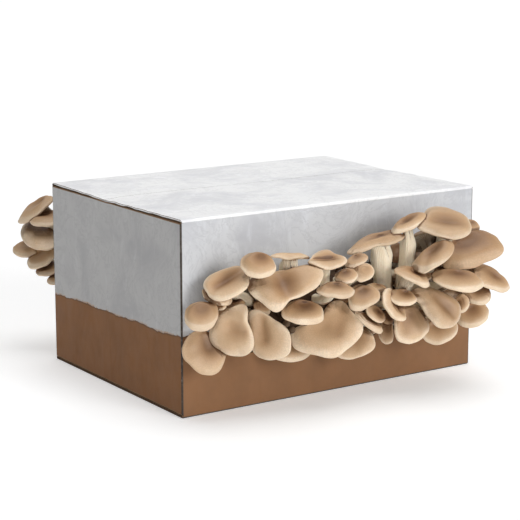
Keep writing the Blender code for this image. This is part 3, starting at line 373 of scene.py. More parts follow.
cartonLow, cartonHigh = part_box("carton")
carton = {
    "long": cartonHigh.x - cartonLow.x,
    "deep": cartonHigh.y - cartonLow.y,
    "tall": cartonHigh.z - cartonLow.z,
    "board": 3.0 * mm,
    "foldRadius": 1.6 * mm,
    "seamAside": 20.0 * mm,    # from the middle towards the back
    "seamGap": 0.5 * mm,
    "windowTall": 78.0 * mm,
    "windowMiddle": 96.0 * mm,
    "windowRound": 18.0 * mm,
    "frontWindow": (-2.0 * mm, 270.0 * mm),    # its middle along the carton and its length
    "backWindow": (-62.0 * mm, 160.0 * mm),
    "grid": 9.0 * mm,          # size of the faces that let the panels bend
    "bowLong": 0.9 * mm,       # how far its long and short walls bend in
    "bowShort": 1.1 * mm,
    "sag": 1.3 * mm,           # how far its top sinks at the seam
    "flutePitch": 7.6 * mm,
    "paper": 0.35 * mm,
    "hollow": 0.9 * mm,        # depth between the papers at the raw ends
    "crushed": 0.8 * mm,       # how far the paper hangs over the raw ends of the flaps
    "bandTall": 81.0 * mm,     # height of the printed brown band
    "bandSlope": -0.022,       # its rise towards the back
    "printPale": (0.625, 0.635, 0.655),
    # the top's white is painted light, and the left wall's darker pale and brown print is painted
    # shade
    "paintedTopLight": (1.0, 1.0, 1.0),
    "paintedLeftShade": (0.50, 0.495, 0.49),
    "printBrown": (0.246, 0.116, 0.047),
    "brownInLeftShade": (0.234, 0.093, 0.022),
    "kraft": (0.36, 0.22, 0.125),
    # worn folds, near black where painted shade lies along the corners and downward edges
    "wornAndShaded": ((0.25, (0.035, 0.028, 0.024)), (0.55, (0.075, 0.06, 0.05)),
               (0.80, (0.26, 0.23, 0.21))),
}


# each window's name and the side of the carton that it is in
windows = (("front", -1, carton["frontWindow"]), ("back", 1, carton["backWindow"]))


def printMaterial():
    material, shader, place = newMaterial("plasterPrint", 0.62, 0.35)
    split = addNode(place.tree, "ShaderNodeSeparateXYZ", {0: place}).outputs
    along, across, height = (Value(socket) for socket in split)
    # the torn edge between the two halves of the print
    swing = noiseOf(place, 16.0, 2.0) - 0.5
    tear = noiseOf(place, 95.0, 6.0, 0.62) - 0.5
    edge = swing * (9.0 * mm) + tear * (5.0 * mm) + across * carton["bandSlope"]
    above = height - (edge + carton["bandTall"])
    isPale = rangeOf(above, -0.15 * mm, 0.15 * mm)
    # plaster: broad clouds, brushed streaks and hairline veins
    broad = noiseOf(place, 14.0, 5.0, 0.6, 0.8)
    brushed = noiseOf(stretched(place, (1.0, 1.0, 0.35), (0.2, 0.3, 0.0)), 70.0, 5.0, 0.65, 1.4)
    veins = noiseOf(place, 22.0, 7.0, 0.7, 2.6)
    vein = rangeOf(mathOf("ABSOLUTE", veins - 0.5), 0.0, 0.035)
    half, tall = carton["long"] / 2, carton["tall"]
    # painted shade on the left wall and painted light on the top
    shadedLeftWall = rangeOf(along, 2.0 * mm - half, 1.0 * mm - half)
    onTop = rangeOf(height, tall - 3.2 * mm, tall - 2.4 * mm)
    pale = mixColour(shadedLeftWall, carton["printPale"], carton["paintedLeftShade"])
    pale = mixColour(onTop, pale, carton["paintedTopLight"])
    plaster = pale
    for change, tint in ((rangeOf(broad, 0.40, 0.70, 0.0, 0.85), (0.78, 0.78, 0.81)),
                         (rangeOf(brushed, 0.50, 0.72, 0.0, 0.40), (1.20, 1.21, 1.23)),
                         (rangeOf(vein, 0.0, 1.0, 0.70, 0.0), (0.84, 0.84, 0.85))):
        plaster = mixColour(change, plaster, mixColour(1.0, pale, tint, "MULTIPLY"))
    # brown band: paper with a little cloud and speckle, darker with painted shade on the left wall
    cloud = rangeOf(noiseOf(place, 30.0, 5.0, 0.6), 0.3, 0.75)
    speck = rangeOf(noiseOf(place, 900.0, 2.0), 0.55, 0.75, 0.0, 0.2)
    band = mixColour(shadedLeftWall, carton["printBrown"], carton["brownInLeftShade"])
    band = mixColour(cloud, band, (0.86, 0.86, 0.86), "MULTIPLY")
    band = mixColour(speck, band, (0.20, 0.11, 0.06))
    colour = mixColour(isPale, band, plaster)
    # the fibres that a tear leaves, just over the band, and the shade under them
    frayed = rangeOf(brushed, 0.42, 0.58, 0.0, 0.9)
    fringe = rangeOf(above, 0.0, 0.2 * mm) * rangeOf(above, 1.9 * mm, 1.1 * mm)
    colour = mixColour(fringe * frayed, colour, (0.45, 0.30, 0.20))
    under = rangeOf(above, -2.2 * mm, -0.4 * mm) * rangeOf(above, 0.1 * mm, 0.0)
    colour = mixColour(under * 0.60, colour, (0.075, 0.035, 0.018))
    # flutes show through the liner as faint washboard lines
    ribs = mathOf("SINE", along * (2 * math.pi / carton["flutePitch"]))
    relief = ribs * 0.12 + noiseOf(place, 1400.0, 3.0)
    setInputs(shader, {"Base Color": colour, "Normal": bumpOf(relief, 0.06 * mm, 0.35),
                       "Roughness": rangeOf(brushed, 0.3, 0.8, 0.54, 0.70)})
    return material


def kraftMaterial(name, shade):
    material, shader, place = newMaterial(name, 0.85, 0.2)
    grain = noiseOf(stretched(place, (1.0, 1.0, 0.2)), 900.0, 4.0, 0.6)
    kraft = tuple(part * shade for part in carton["kraft"])
    colour = dullRamp(grain * 0.6 + noiseOf(place, 60.0, 4.0) * 0.4, 0.30, kraft)
    setInputs(shader, {"Base Color": colour, "Normal": bumpOf(grain, 0.15 * mm, 0.6)})
    return material


def creaseMaterial():
    # print worn and cracked along a fold, so that the board shows through, darkened near black with
    # painted shade along the upright corners and downward edges
    material, shader, place = newMaterial("wornShadedFold", 0.8, 0.2)
    worn = noiseOf(place, 220.0, 5.0, 0.7)
    setInputs(shader, {"Base Color": rampOf(worn, carton["wornAndShaded"]),
                       "Normal": bumpOf(worn, 0.3 * mm, 0.5)})
    return material


def roundedBox(size, middle, radius, step, segments=3):
    # a box with rounded edges whose faces are cut into a grid of about step
    work = bmesh.new()
    bmesh.ops.create_cube(work, size=1.0)
    bmesh.ops.scale(work, vec=size, verts=work.verts)
    bmesh.ops.bevel(work, geom=work.edges[:], offset=radius, segments=segments, profile=0.5,
                    affect="EDGES")
    for axis in range(3):
        count = max(2, round((size[axis] - 2 * radius) / step))
        normal = [0.0, 0.0, 0.0]
        normal[axis] = 1.0
        for place in np.linspace(-0.5 * size[axis] + radius, 0.5 * size[axis] - radius,
                                 count + 1)[1:-1]:
            point = [0.0, 0.0, 0.0]
            point[axis] = place
            bmesh.ops.bisect_plane(work, geom=work.verts[:] + work.edges[:] + work.faces[:],
                                   dist=1e-6, plane_co=point, plane_no=normal)
    bmesh.ops.translate(work, vec=middle, verts=work.verts)
    return work


def boxPiece(name, node, values):
    # a rounded box in the place of a node, with its points and their normals
    low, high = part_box(node)
    piece = fromWork(name, roundedBox(high - low, (low + high) / 2, values["round"],
                                      values["grid"], 4))
    return piece, getPoints(piece.data), getPoints(piece.data, "normal")


def boxCutter(name, low, high, material):
    low, high = np.array(low), np.array(high)
    work = bmesh.new()
    bmesh.ops.create_cube(work, size=1.0)
    bmesh.ops.scale(work, vec=high - low, verts=work.verts)
    bmesh.ops.translate(work, vec=(low + high) / 2, verts=work.verts)
    return dressedCutter(name, work, material)


def windowOutline(window, smaller=0.0, count=10):
    # the rounded window as (x, z) points, anticlockwise seen from the front
    aside, long = window
    halfLong = long / 2 - smaller
    halfTall = carton["windowTall"] / 2 - smaller
    corner = carton["windowRound"] - smaller / 2
    points = []
    for quarter in range(4):
        middleX = aside + (halfLong - corner) * (1 if quarter in (0, 3) else -1)
        middleZ = carton["windowMiddle"] + (halfTall - corner) * (1 if quarter in (0, 1) else -1)
        for step in range(count + 1):
            angle = math.radians(90 * quarter + 90 * step / count)
            points.append((middleX + corner * math.cos(angle), middleZ + corner * math.sin(angle)))
    return points


def prismCutter(name, outline, low, high, material):
    # a prism along Y for an (x, z) outline
    work = bmesh.new()
    face = work.faces.new([work.verts.new((x, low, z)) for x, z in outline])
    moved = bmesh.ops.extrude_face_region(work, geom=[face])["geom"]
    bmesh.ops.translate(work, vec=(0.0, high - low, 0.0),
                        verts=[part for part in moved if isinstance(part, bmesh.types.BMVert)])
    bmesh.ops.recalc_face_normals(work, faces=work.faces[:])
    return dressedCutter(name, work, material)


def dressedCutter(name, work, material):
    cutter = fromWork(name, work)
    cutter.data.materials.append(material)
    return cutter


def cutAway(target, cutter):
    modifier = target.modifiers.new("cut", "BOOLEAN")
    modifier.operation = "DIFFERENCE"
    modifier.solver = "EXACT"
    modifier.material_mode = "TRANSFER"
    modifier.object = cutter
    settle(target)
    bpy.data.objects.remove(cutter)


def creaseCutterOutline(side, top):
    # what lies outside a short wall's rounded fold, under the raw end of the long flaps
    long, tall, board = carton["long"], carton["tall"], carton["board"]
    radius = 1.5 * mm
    slit = 0.3 * mm
    level = tall - board if top else board
    down = -1 if top else 1
    outline = [(long / 2 + 1.0 * mm, level), (long / 2 - board, level),
               (long / 2 - board, level + down * slit)]
    for step in range(7):
        angle = math.radians(90 - 15 * step)
        outline.append((long / 2 - radius + radius * math.cos(angle),
                        level + down * (radius + slit - radius * math.sin(angle))))
    outline.append((long / 2 + 1.0 * mm, level + down * (radius + slit)))
    return [(side * x, z) for x, z in outline]


def bendPanels(points):
    # panels of a filled carton are never flat: they bow, and the flaps sag towards the seam
    long, deep, tall = carton["long"], carton["deep"], carton["tall"]
    x, y, z = points[:, 0], points[:, 1], points[:, 2]
    u, v, w = x / long, y / deep, z / tall - 0.5
    moved = points.copy()
    inLong = np.clip(1 - (2 * u) ** 2, 0, 1)
    inTall = np.clip(1 - (2 * w) ** 2, 0, 1)
    inDeep = np.clip(1 - (2 * v) ** 2, 0, 1)
    wavy = np.sin(9.0 * u + 4.0 * w + 1.0) * np.sin(7.0 * w + 2.0)
    onWall = np.abs(v) > 0.47
    moved[:, 1] -= carton["bowLong"] * np.sign(y) * inLong * inTall * (0.55 + 0.45 * wavy) * onWall
    wavy = np.sin(8.0 * v - 5.0 * w) * np.sin(6.0 * w + 1.0)
    onWall = np.abs(u) > 0.47
    moved[:, 0] -= carton["bowShort"] * np.sign(x) * inDeep * inTall * (0.6 + 0.4 * wavy) * onWall
    onTop = z > tall - 1.5 * carton["board"]
    seam = y - carton["seamAside"]
    sag = carton["sag"] * np.clip(1 - np.abs(seam) / (0.55 * deep), 0, 1) ** 1.5
    sag *= 0.5 + 0.5 * np.sin(5.0 * u + 1.2) ** 2
    corner = 1.8 * mm * np.exp(-(np.hypot(x + long / 2, 1.4 * (seam + 0.003)) / 0.013) ** 2)
    corner += 1.0 * mm * np.exp(-(np.hypot(x - long / 2, seam) / 0.012) ** 2)
    ends = 0.7 * mm * np.exp(-((np.abs(x) - long / 2) / 0.02) ** 2) * np.sin(31.0 * v + 0.6) ** 2
    moved[:, 2] -= np.where(onTop, np.minimum(sag + corner + ends * inDeep, 2.2 * mm), 0.0)
    return moved


def makeCarton(printed, edge, liner, wornAndShaded):
    long, deep, tall, board = (carton[key] for key in ("long", "deep", "tall", "board"))
    body = fromWork("printed_carton", roundedBox((long, deep, tall), (0, 0, tall / 2),
                                                 carton["foldRadius"], carton["grid"], 4))
    for material in (printed, edge, liner, wornAndShaded):
        body.data.materials.append(material)
    inX, inY = long / 2 - board, deep / 2 - board
    # the short flaps end where the room between them begins
    between = inX - inY
    for name, reach, skip in (("room", inX, 2 * board), ("between", between, board)):
        cutAway(body, boxCutter(name, (-reach, -inY, skip), (reach, inY, tall - skip), liner))
    seamLow = carton["seamAside"] - carton["seamGap"] / 2
    seamHigh = carton["seamAside"] + carton["seamGap"] / 2
    for low, high in ((tall - board, tall + board), (-board, board)):
        cutAway(body, boxCutter("seam", (-long, seamLow, low), (long, seamHigh, high), edge))
    for side in (-1, 1):
        for top in (True, False):
            cutAway(body, prismCutter("fold", creaseCutterOutline(side, top), -deep, deep, liner))
    for name, low, high in (("frontWindow", -deep / 2 - board, -deep / 2 + 2 * board),
                            ("backWindow", deep / 2 - 2 * board, deep / 2 + board)):
        cutAway(body, prismCutter(name, windowOutline(carton[name]), low, high, edge))
    # the raw ends of the long flaps, and the worn vertical folds and downward edges, which carry
    # painted shade
    rawLow, rawHigh = board + 0.2 * mm, tall - board - 0.2 * mm
    for face in body.data.polygons:
        x, _, z = face.center
        nx, ny, nz = face.normal
        if face.material_index:
            continue
        if abs(nx) > 0.5 and abs(x) > long / 2 - 2 * mm and (z > rawHigh or z < rawLow):
            face.material_index = 1
        elif abs(ny) > 0.15 and (abs(nx) > 0.15 and abs(nz) < 0.2 or nz < -0.15):
            face.material_index = 3
    # a raw end is two papers with a hollow between them
    work = bmesh.new()
    work.from_mesh(body.data)
    rawEnds = [f for f in work.faces if f.material_index == 1 and abs(f.normal.x) > 0.8
               and abs(f.calc_center_median().x) > long / 2 - 0.5 * mm]
    papers = bmesh.ops.inset_region(work, faces=rawEnds, thickness=carton["paper"], depth=0.0,
                                    use_even_offset=True)["faces"]
    for face in papers:
        if face.calc_center_median().z > tall - 0.5 * board:
            face.material_index = 0
    # the printed paper is crushed down over the hollow, more in some places than in others
    for corner in {corner for face in rawEnds for corner in face.verts}:
        if corner.co.z > tall - 0.5 * board:
            crushed = noise.noise(Vector((40.0 * corner.co.y, 0.0, 5.0)))
            corner.co.z -= carton["crushed"] * (0.75 + 0.9 * crushed)
    bmesh.ops.inset_region(work, faces=rawEnds, thickness=0.02 * mm, depth=-carton["hollow"],
                           use_even_offset=True)
    work.to_mesh(body.data)
    work.free()
    setPoints(body.data, bendPanels(getPoints(body.data)))
    shadeSmooth(body, 28)
    standsFor(body, "carton")
    return body


# fluting: the wavy paper between the liners, where a cut runs across it

fluting = {
    "height": 2.2 * mm,
    "paper": 0.3 * mm,
    "deepIn": 3.0 * mm,
    "step": 0.5 * mm,
    "proud": 0.4 * mm,         # how far it stands into the window
}


def fluteTree():
    tree, given, result = newTree("fluteTree", (
        ("Pitch", "Float", carton["flutePitch"]), ("Height", "Float", fluting["height"]),
        ("Paper", "Float", fluting["paper"]), ("Deep In", "Float", fluting["deepIn"]),
        ("Step", "Float", fluting["step"]), ("Material", "Material", None)))
    line = valueOf("GeometryNodeMeshToCurve", {"Mesh": given["Geometry"]})
    line = valueOf("GeometryNodeResampleCurve", {"Curve": line, "Length": given["Step"]},
                   mode="LENGTH")
    along = startValue(tree, "GeometryNodeSplineParameter", "Length")
    phase = mathOf("DIVIDE", along, given["Pitch"]) * (2 * math.pi)
    swing = mathOf("SINE", phase) * (given["Height"] * 0.5)
    waved = valueOf("GeometryNodeSetPosition", {"Geometry": line,
                                                "Offset": vectorOf(0.0, swing, 0.0)})
    upright = valueOf("GeometryNodeSetCurveNormal", {"Curve": waved}, mode="Z_UP")
    strip = valueOf("GeometryNodeCurvePrimitiveQuadrilateral",
                    {"Width": given["Paper"], "Height": given["Deep In"]})
    ribbon = valueOf("GeometryNodeCurveToMesh", {"Curve": upright, "Profile Curve": strip,
                                                 "Fill Caps": True})
    closeTree(result, ribbon, given["Material"])
    return tree


def makeFluting(edge):
    # one line of fluting along the top and bottom cut of each window
    work = bmesh.new()
    half = carton["deep"] / 2 - carton["board"] / 2
    for _, side, (aside, long) in windows:
        reach = long / 2 - carton["windowRound"]
        for up in (-1, 1):
            level = carton["windowMiddle"] + up * (
                carton["windowTall"] / 2 + fluting["deepIn"] / 2 - fluting["proud"])
            ends = [work.verts.new((aside + way * reach, side * half, level))
                    for way in (-1, 1)]
            work.edges.new(ends)
    flutes = fromWork("window_fluting", work)
    growWith(flutes, fluteTree(), {"Material": edge})
    standsFor(flutes, "carton")


# mushrooms: every cap is one closed skin from its crown over the margin and gills to its foot

capShape = {
    "aside": 0.45,       # the stem's place, as a share of the way to the cap's edge
    "turn": 90.0,        # the direction of that place, in degrees about the cap
    "crown": 0.16,       # height of the dome over half the cap's width
    "dip": 0.16,         # depth of the hollow over the stem, likewise
    "curl": 0.14,        # droop of the margin, likewise
    "bend": 0.0,         # fold of the cap about its long way, likewise
    "lobes": (),         # (how many, how deep, where) for each wave of the outline
    "edge": (),          # columns and rows that an uneven outline goes through
    "thick": 3.6,        # mm at the margin
    "stem": 6.5,         # mm, radius
    "lean": None,        # degrees between the cap's axis and the line of sight
    "outward": 0.45,     # how far the cap's axis is turned straight out of the carton
    "shade": 0.22,       # painted shade: how much darker its far side is than its near one
    "pale": 0.0,         # how much paler it is than its neighbours, darker below zero: its own tone together with painted light, and painted shade below zero
    "dim": 0.0,          # painted shade all over it, where it lies in shadow
    "valley": None,      # a sunk line: both ends in the picture, half width there and depth
    "flare": 0.0,        # how much wider the stem's top is than its middle
    "foot": None,        # column, row and reach of the stem's foot
    "deep": None,        # half depth in metres, where the picture can't give it
}
capMesh = {
    "gillSpacing": 2.3 * mm,
    "leastGills": 22,
    "topRings": 19,
    "underRings": 9,
    "flareRings": 7,
    "stemRings": 11,
    "gillDepth": 1.0 * mm,
    "marginShare": 0.965,
    "thickestStem": 0.42,      # each a share of the cap's smaller half size
    "thickestMargin": 0.22,
    "deepestGill": 0.07,
    "gillsEnd": 0.50,          # share of the way out from the stem where the gills turn down
    "crowdShadeReach": 28.0 * mm,   # how near a neighbour must be for painted shade to darken a cap
    "crowdShadeLift": 0.4 * mm,     # from the skin to where that is felt
}

# The caps of the front cluster: column, row, wide, tall, slant and reach (mm), then whatever
# differs from capShape. They run from the lower left to the upper right. An edge lists
# columns and rows on the cap's outline, clockwise.
# pale, shade, dim and valley paint light and shade on these caps besides their own colour
frontCaps = {
    "lower_left_lobed": (204.5, 354, 22.5, 19.5, -40, 26, {
        "edge": ((190, 336), (206, 333), (214, 337), (222, 344), (226, 353), (224, 361),
                 (221, 368), (217, 373), (210, 376), (203, 375.5), (197, 372), (191, 366),
                 (185, 359), (183, 353), (183.5, 347), (186, 341)),
        "crown": 0.09, "curl": 0.09, "valley": ((205, 339), (208, 350), 8.0, 0.10), "dip": 0.06,
        "shade": 0.14, "pale": -0.10}),
    "far_left_round": (201.5, 317, 16.5, 14, 5, 30, {
        "edge": ((193, 305), (200, 303.3), (208, 303), (214, 304.5), (217.5, 310), (217, 318),
                 (214, 325), (209, 329), (203, 331), (196, 330.5), (190, 327), (186.5, 321),
                 (186, 315), (188, 309)), "crown": 0.24, "aside": 0.5, "dip": 0.06, "shade": 0.45}),
    "left_horned": (231.5, 333, 24, 21.5, 90, 37, {
        "edge": ((224, 308.5), (231, 308.5), (237, 305.5), (243, 304.5), (248, 309), (247, 316),
                 (249, 326), (252.5, 335), (253.5, 343), (252, 350), (248, 354.5), (240, 356),
                 (228, 354), (221, 350), (214, 345), (210, 340), (209, 334), (212, 327),
                 (217, 320), (218, 312.5)), "crown": 0.09, "curl": 0.09, "aside": 0.20, "turn": -80,
        "dip": 0.10, "valley": ((232, 328), (243, 332), 7.0, 0.14),
        "shade": 0.0, "pale": 0.48}),
    "left_rolled": (269.5, 335.5, 25.2, 21.5, 88, 46, {
        "edge": ((253, 310.3), (258, 310), (262, 313), (268, 316), (275, 321), (283, 325.5),
                 (288, 330), (291, 337), (291.5, 345), (291, 351), (287, 356), (280, 358.5),
                 (272, 359.5), (262, 358), (256, 355), (253, 350), (253.5, 343), (253, 336),
                 (251, 329), (248, 323), (246.8, 318), (248, 313)),
        "crown": 0.09, "curl": 0.09, "valley": ((262, 317), (265, 338), 6.5, 0.12), "dip": 0.06,
        "shade": 0.0, "pale": 0.45}),
    "low_strip": (290, 347, 23, 16, 0, 24, {"lean": 20, "stem": 4.5}),
    "upper_left_funnel": (227, 283.5, 25, 12.5, 26, 34, {
        "edge": ((207, 278), (212, 275), (220, 272), (230, 268.5), (240, 266), (245, 268),
                 (248.5, 273), (249, 280), (247, 288), (240, 293), (232, 297.5), (225, 299.5),
                 (216, 299), (209, 293), (205.5, 287), (205, 282)),
        "crown": -0.02, "dip": 0.04, "aside": 0.25, "valley": ((217, 287), (241, 272), 9.5, 0.14),
        "shade": 0.06}),
    "under_left_sliver": (217, 296, 14.5, 9, -15, 24, {
        "edge": ((203, 293), (206, 288), (214, 286), (224, 290), (230, 296), (231, 303),
                 (226, 305.5), (219, 305), (212, 302.5), (206, 298.5)),
        "stem": 3.5, "lean": 35}),
    "top_left_convex": (258, 265, 17, 12, -10, 52, {"crown": 0.34, "curl": 0.22, "dip": 0.05}),
    "middle_saddle": (287, 285.5, 36, 22, 10, 60, {
        "edge": ((253, 276.5), (263, 275.5), (274, 272), (287, 270), (299, 266), (310, 265),
                 (320, 267), (323.5, 273), (321, 281), (315, 288.5), (305, 293.5), (297, 297),
                 (289.5, 299), (285.5, 303), (283.5, 309), (279, 312.5), (273, 311),
                 (266, 306.5), (258, 299.5), (250, 293), (248.5, 284)),
        "aside": 0.15, "crown": 0.10, "curl": 0.10, "dip": 0.05, "bend": 0.05,
        "valley": ((277, 271), (287, 294), 11.0, 0.18), "shade": 0.10}),
    "edge_on_top": (290, 256, 19.5, 3, -3, 46, {
        "lean": 85, "thick": 2.4, "pale": 0.8, "deep": 0.019, "crown": 0.10, "curl": 0.06,
        "dip": 0.0, "aside": 0.1, "foot": (292, 284, 20), "stem": 7.5, "flare": 0.5}),
    "top_funnel": (327, 259.5, 19.5, 8.5, -2, 60, {
        "edge": ((308, 262), (311, 258), (314, 254), (318, 251.5), (323, 250), (328, 250),
                 (332, 253), (336, 255.5), (342, 256), (346, 260), (344, 263), (338, 266),
                 (330, 268), (322, 267.5), (314, 265)),
        "crown": -0.04, "dip": 0.04, "valley": ((314, 259.5), (331, 258.5), 5.5, 0.14),
        "shade": 0.0, "aside": 0.2, "foot": (325, 288, 25), "stem": 6.0}),
    "middle_oval": (345.5, 276, 11, 7.5, 8, 66, {"stem": 4.5}),
    "curled_pale": (363, 272, 10.5, 8.5, -20, 56, {
        "edge": ((353, 266), (360, 264.5), (366, 263), (371, 267), (373, 272), (370, 277),
                 (365, 280), (359, 281), (354, 276)), "stem": 5.5, "pale": 0.5, "shade": 0.0}),
    "small_over_pale": (356, 260, 11.5, 6.5, 22, 60, {
        "edge": ((345, 266), (347, 260), (351, 256), (358, 253.5), (364, 254), (367, 257),
                 (364, 261), (357, 264.5), (350, 267)), "stem": 4.5}),
    "long_side_view": (375, 243, 28.5, 6.5, 17, 48, {
        "edge": ((347, 254), (350, 249), (356, 244), (362, 240), (368, 237), (375, 235),
                 (384, 233.5), (393, 233), (400, 235), (401, 239), (396, 241.5), (385, 243.5),
                 (375, 246.5), (365, 250), (356, 253.5)),
        "lean": 74, "deep": 0.023, "aside": 0.2, "crown": 0.22, "curl": 0.16, "turn": 0,
        "foot": (383, 290, 28), "stem": 11.0, "flare": 0.35}),
    "high_slanted": (407, 223, 18.5, 5.6, 28, 60, {
        "lean": 74, "deep": 0.022, "crown": 0.18, "aside": 0.12, "turn": 180,
        "foot": (402, 288, 40), "stem": 9.5, "flare": 0.15}),
    "top_right_large": (441.5, 223, 27, 14.5, -8, 72, {
        "edge": ((422, 214), (426, 208.5), (432, 206.5), (440, 206.5), (447, 208), (454, 211),
                 (460, 214.5), (465, 219), (468, 225), (467.5, 231), (463, 235.5),
                 (456, 237.5), (449, 238), (441, 237.5), (433, 235), (425, 231.5),
                 (418, 229), (415.5, 226.5), (417, 221)),
        "crown": 0.14, "dip": 0.04, "aside": 0.15, "turn": -60, "shade": 0.0,
        "valley": ((431, 221.5), (458, 225.5), 9.5, 0.14), "foot": (440, 290, 25)}),
    # its dim is painted shade, as it lies in shadow under its neighbours
    "gilled_behind": (425, 240, 18, 13, 20, 46, {
        "lean": 122, "deep": 0.019, "outward": 0.0, "aside": 0.2, "turn": -90,
        "foot": (425, 285, 20), "stem": 7.0, "dim": 0.55}),
    "far_top_sliver": (468, 225, 9, 6, -20, 50, {"stem": 4.0}),
    "right_large": (470, 250.5, 32, 18, 13, 66, {
        "edge": ((450, 243), (456, 238), (462, 234.5), (468, 231.5), (474, 230), (481, 230.5),
                 (488, 233), (494, 238), (499, 243.5), (503, 250), (500, 254.5), (494, 257.5),
                 (487, 260), (480, 263), (474, 265.5), (467, 268), (460, 269.5), (452, 270.5),
                 (445, 269), (441, 264), (445, 256), (447, 249)),
        "aside": 0.60, "turn": 130, "shade": 0.46, "pale": -0.15}),
    "right_slanted": (432, 257, 23, 9, 40, 84, {
        "edge": ((439, 242.5), (446, 241), (451, 244), (452, 249), (448, 255.5), (441, 262),
                 (433, 268), (425, 271.5), (418, 271.5), (412, 268), (412, 263),
                 (417, 258), (424, 251), (432, 245.5)),
        "aside": 0.4, "turn": 60, "shade": 0.35}),
    "curled_rim": (411, 277, 18.5, 6.5, -27, 78, {
        "edge": ((396, 268), (400, 266.5), (406, 266.8), (412, 269.5), (419, 274), (424, 279),
                 (427, 284), (425, 287), (420, 286), (413, 282.5), (406, 278.5), (400, 275),
                 (395, 272)), "stem": 7.5, "foot": (402, 292, 40)}),
    "right_wide": (455, 281, 25.5, 9.5, -10, 92, {
        "edge": ((431, 275), (436, 272), (444, 271), (453, 272), (463, 273), (472, 275),
                 (478, 279), (481, 284), (479, 289), (473, 291.5), (465, 291.5), (456, 290.5),
                 (447, 287.5), (438, 283), (432, 279)),
        "crown": 0.08, "aside": 0.6, "dip": 0.08, "shade": 0.28}),
    "far_right": (492, 279, 18.5, 7, -38, 78, {
        "edge": ((476, 266), (483, 265), (490, 269.5), (497, 275), (503, 280), (506.5, 286),
                 (505, 290.5), (499, 291), (492, 289), (485, 287), (478, 284), (474, 275)),
        "crown": 0.14, "curl": 0.10, "aside": 0.25, "stem": 5.0}),
    "right_edge_oval": (476, 295.5, 14, 10, 5, 74, {
        "edge": ((464, 289), (472, 286), (480, 286), (486, 288), (489, 293), (489, 299),
                 (485, 303.5), (479, 304.5), (472, 303), (466, 299), (462, 294))}),
    "right_inner": (461.2, 303.6, 9, 7.5, 80, 74, {"stem": 4.5}),
    "right_edge_low": (472.5, 315.5, 15.5, 12.5, 10, 56, {
        "edge": ((470, 304.5), (477, 303), (483, 304), (486.5, 308.5), (488, 315), (485.5, 321),
                 (480, 325.5), (473, 328), (465, 327.5), (459, 324), (456.5, 318), (459, 312),
                 (464, 307)), "aside": 0.5}),
    "right_folded": (436, 307.5, 28, 18, -40, 78, {
        "edge": ((410, 293), (413, 288.5), (418, 286.5), (423, 287.5), (430, 289),
                 (438, 291.5), (446, 294), (453, 297), (457, 302), (459.5, 309), (460, 316),
                 (457.5, 321.5), (453, 325), (446, 328), (439, 328), (433, 326), (429, 320),
                 (425, 314), (420, 306), (416, 300), (411, 297)),
        "aside": 0.22, "turn": 10, "bend": -0.12, "dip": 0.05, "shade": 0.0,
        "pale": 0.10, "valley": ((431, 300), (449, 318), 7.5, 0.12)}),
    "right_low": (440, 331, 18, 13.5, 20, 52, {
        "crown": 0.09, "curl": 0.09, "aside": 0.6, "lean": 25, "shade": 0.10}),
    "right_low_tall": (411.5, 325, 19.5, 17, -60, 62, {
        "edge": ((400, 308), (405, 306), (412, 305), (417, 307.5), (421, 313), (425, 319),
                 (428.5, 326), (427, 332), (423, 337), (418, 341), (411, 344), (404, 343.5),
                 (398, 340.5), (395.5, 335), (395, 325), (396, 315)), "aside": 0.50, "turn": 165,
        "shade": 0.05, "dip": 0.06, "crown": 0.09, "curl": 0.09, "pale": 0.15,
        "valley": ((401, 311), (403, 330), 7.0, 0.08)}),
    "right_middle_oval": (403.5, 297.5, 13, 7.8, -12, 72, {
        "edge": ((391, 292), (396, 290), (402, 290), (408, 292.5), (414, 297), (415.5, 301),
                 (411, 304), (403, 305.3), (396, 304), (391, 300)), "stem": 4.5}),
    "crescent": (392, 305, 17.5, 7.5, -58, 66, {
        "edge": ((388, 290), (393, 292), (397, 298), (399, 306), (401.5, 313), (402.5, 318.5),
                 (401, 321), (396, 320.5), (390, 316), (386, 310), (383, 304), (381, 298),
                 (382, 292)), "bend": 0.15, "stem": 4.5, "dip": 0.05,
        "shade": 0.0, "valley": ((391, 297), (396, 311), 5.0, 0.14)}),
    "small_tongue": (375, 314, 11, 6.2, -42, 52, {"stem": 4.0, "shade": 0.0}),
    "pale_rim": (368, 323, 16.5, 4, -38, 46, {"stem": 4.0, "shade": 0.0, "pale": 0.7}),
    "low_tongue": (386.5, 332.5, 7, 12.5, 0, 38, {
        "edge": ((380, 322), (386, 319), (392, 322), (393, 332), (393, 341), (389, 344.5),
                 (383, 343), (379, 337), (379, 328)),
        "stem": 3.5, "lean": 20, "aside": 0.3, "dip": 0.05, "shade": 0.0, "pale": 0.2}),
    "middle_round": (364, 298, 16, 12.3, 15, 62, {
        "edge": ((350, 291), (355, 286.5), (362, 285.5), (370, 287), (376, 290), (379, 296),
                 (377, 301), (371, 305), (365, 308), (358, 310.5), (352, 310), (349.5, 304),
                 (349, 297)), "aside": 0.6}),
    "flat_oval": (335, 290.5, 18, 6.8, -4, 70, {
        "edge": ((317, 291), (321, 286.5), (327, 284), (334, 284), (343, 286), (350, 288),
                 (353, 292), (350, 296), (342, 297.5), (333, 297), (324, 295)), "stem": 5.0}),
    "hidden_sliver": (376, 288.5, 11.5, 4.2, -12, 46, {
        "edge": ((365, 287), (371, 284.5), (378, 285), (385, 288), (386, 291.5), (380, 292.5),
                 (372, 291)), "stem": 4.0, "shade": 0.0, "pale": 0.3}),
    "middle_low": (303, 313, 20.5, 11.5, -8, 60, {
        "edge": ((282, 314), (285, 308), (291, 303.5), (299, 301.5), (306, 302), (313, 304),
                 (319, 307), (322, 312), (322.5, 318), (320, 322), (313, 324.3), (304, 324.8),
                 (296, 323.5), (289, 320.5), (283, 317.5)), "aside": 0.6, "shade": 0.42}),
    "bottom_large": (328.5, 331.5, 35, 28, 8, 50, {
